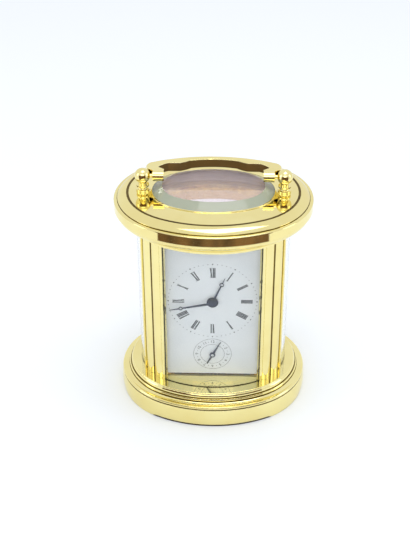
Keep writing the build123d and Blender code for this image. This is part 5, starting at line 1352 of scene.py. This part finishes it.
@dataclass
class Studio:
    """White paper under and behind the clock, soft boxes, and dark cards that reflections show."""

    paper_half: float = 2200.0 * MM
    paper_drop: float = 0.05 * MM
    card_near: float = 205.0 * MM
    card_lift: float = 0.4 * MM
    screen_radius: float = 640.0 * MM
    screen_swing: float = math.radians(49.0)
    screen_high: float = 370.0 * MM
    screen_steps: int = 24
    well_margin: float = 4.9 * MM
    well_lift: float = 0.05 * MM
    well_front: float = -5.0 * MM
    well_steps: int = 64
    aim_height: float = 60.0 * MM
    sky_tone: str = "#F4F6FA"
    sky_strength: float = 1.0

    def stand_on_stage(self, name: str, mesh: bmesh.types.BMesh) -> bpy.types.Object:
        """Makes a stage object of a bmesh.

        Args:
            name: the object's name.
            mesh: its shape; it is freed.

        Returns:
            The object.
        """
        made = as_object(name, mesh)
        return made

    def stand_card(self, name: str, mesh: bmesh.types.BMesh, wardrobe: Wardrobe) -> None:
        """Makes a dark card that is seen in reflections alone.

        Args:
            name: the card's name.
            mesh: its shape; it is freed.
            wardrobe: the finishes.
        """
        card = self.stand_on_stage(name, mesh)
        wardrobe.dress(card, DARK_CARD)
        card.visible_camera = False
        card.visible_shadow = False
        card.visible_diffuse = False
        card.visible_transmission = False

    def build_paper(self, wardrobe: Wardrobe) -> None:
        """Lays the white paper.

        Args:
            wardrobe: the finishes.
        """
        mesh = bmesh.new()
        stretch = Matrix.Diagonal((self.paper_half, self.paper_half, 1.0, 1.0))
        place = Matrix.Translation((0.0, 0.0, -self.paper_drop)) @ stretch
        bmesh.ops.create_grid(mesh, x_segments=1, y_segments=1, size=1.0, matrix=place)
        wardrobe.dress(self.stand_on_stage("background_paper", mesh), PAPER)

    def swept_card(self, name: str, near: Vector, far: Vector, wardrobe: Wardrobe) -> None:
        """Spins a line round the clock into a dark card, as wide as the dark part of the room.

        Args:
            name: the card's name.
            near: the line's one end, in the plane of the clock's middle.
            far: its other end.
            wardrobe: the finishes.
        """
        mesh = bmesh.new()
        swing = self.screen_swing
        turn = Matrix.Rotation(-swing, 4, "Z")
        spin(mesh, [turn @ near, turn @ far], Vector(), Z_AXIS, 2 * swing, self.screen_steps)
        self.stand_card(name, mesh, wardrobe)

    def well_card(self, wardrobe: Wardrobe) -> None:
        """Lays a dark card over the back of the top glass.

        It stands for the dark movement under the glass, as the folded handle mirrors it.

        Args:
            wardrobe: the finishes.
        """
        low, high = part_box("top_glass")
        across = (high.x - low.x) / 2 - self.well_margin
        along = (high.y - low.y) / 2 - self.well_margin
        lift = Matrix.Translation((0.0, 0.0, high.z + self.well_lift))
        shape = lift @ Matrix.Diagonal((across, along, 1.0, 1.0))
        mesh = bmesh.new()
        bmesh.ops.create_circle(mesh, cap_ends=True, segments=self.well_steps, radius=1.0, matrix=shape)
        bmesh.ops.bisect_plane(
            mesh,
            geom=[*mesh.verts, *mesh.edges, *mesh.faces],
            plane_co=(0.0, self.well_front, 0.0),
            plane_no=Y_AXIS,
            clear_inner=True,
        )
        self.stand_card("dark_well_card", mesh, wardrobe)

    def build_cards(self, wardrobe: Wardrobe) -> None:
        """Lays a dark card in front of the paper, one over the well, and stands one behind the camera.

        Args:
            wardrobe: the finishes.
        """
        near = Vector((0.0, -self.card_near, self.card_lift))
        edge = Vector((0.0, -self.screen_radius, self.card_lift))
        head = Vector((0.0, -self.screen_radius, self.screen_high))
        self.swept_card("dark_front_card", near, edge, wardrobe)
        self.swept_card("dark_camera_screen", edge, head, wardrobe)
        self.well_card(wardrobe)

    def build_sky(self) -> None:
        """Makes the room's even white light."""
        world = bpy.data.worlds.new("white_room")
        bpy.context.scene.world = world
        world.use_nodes = True
        tree = world.node_tree
        tree.nodes.clear()
        light = add_node(
            tree,
            "Background",
            inputs={"Color": linear(self.sky_tone), "Strength": self.sky_strength},
        ).outputs["Background"]
        add_node(tree, "OutputWorld", inputs={"Surface": light})

    def build(self, wardrobe: Wardrobe) -> None:
        """Builds the whole studio.

        Args:
            wardrobe: the finishes.
        """
        self.build_paper(wardrobe)
        self.build_cards(wardrobe)
        for box in SOFT_BOXES:
            box.hang(Vector((0.0, 0.0, self.aim_height)))
        self.build_sky()
        bpy.context.scene.view_settings.view_transform = "Standard"
        log.info("built the studio")


@dataclass
class PhotoCamera:
    """The photograph's camera: its place, its tilt, and the lens that its frame needs."""

    place: Vector = field(default_factory=lambda: Vector((8.81, -473.86, 381.29)) * MM)
    tilt: float = math.radians(33.337)
    heading: float = math.radians(1.592)
    roll: float = math.radians(-0.136)
    sensor: float = 36.0
    focal_pixels: float = 1083.54
    frame_height: float = 547.0
    clip_near: float = 10.0 * MM
    clip_far: float = 10000.0 * MM

    def turn(self) -> Matrix:
        """Works out the camera's axes.

        Returns:
            A matrix whose columns are the camera's right, up and backward axes.
        """
        level = Vector((math.cos(self.heading), math.sin(self.heading), 0.0))
        ahead = Vector((-math.sin(self.heading), math.cos(self.heading), 0.0))
        upright = Vector((0.0, 0.0, 1.0))
        forward = ahead * math.cos(self.tilt) - upright * math.sin(self.tilt)
        rise = ahead * math.sin(self.tilt) + upright * math.cos(self.tilt)
        right = level * math.cos(self.roll) + rise * math.sin(self.roll)
        up = rise * math.cos(self.roll) - level * math.sin(self.roll)
        return Matrix((right, up, -forward)).transposed()

    def build(self) -> None:
        """Makes the camera and gives it to the scene."""
        data = bpy.data.cameras.new("photo_camera")
        data.sensor_fit = "AUTO"
        data.sensor_width = self.sensor
        data.lens = self.focal_pixels * self.sensor / self.frame_height
        data.clip_start, data.clip_end = self.clip_near, self.clip_far
        camera = bpy.data.objects.new("photo_camera", data)
        camera.matrix_world = Matrix.Translation(self.place) @ self.turn().to_4x4()
        bpy.context.scene.collection.objects.link(camera)
        bpy.context.scene.camera = camera
        log.info("built the camera")


def main() -> None:
    """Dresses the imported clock, prints its dial, and sets the studio and the camera."""
    logging.basicConfig(level=logging.INFO, format="%(message)s")
    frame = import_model()
    wardrobe = Wardrobe()
    wardrobe.dress_frame(frame)
    DialPrint().build(wardrobe)
    CaseFittings().build(wardrobe)
    HandCollet().build(wardrobe)
    Studio().build(wardrobe)
    PhotoCamera().build()


if __name__ == "__main__":
    main()
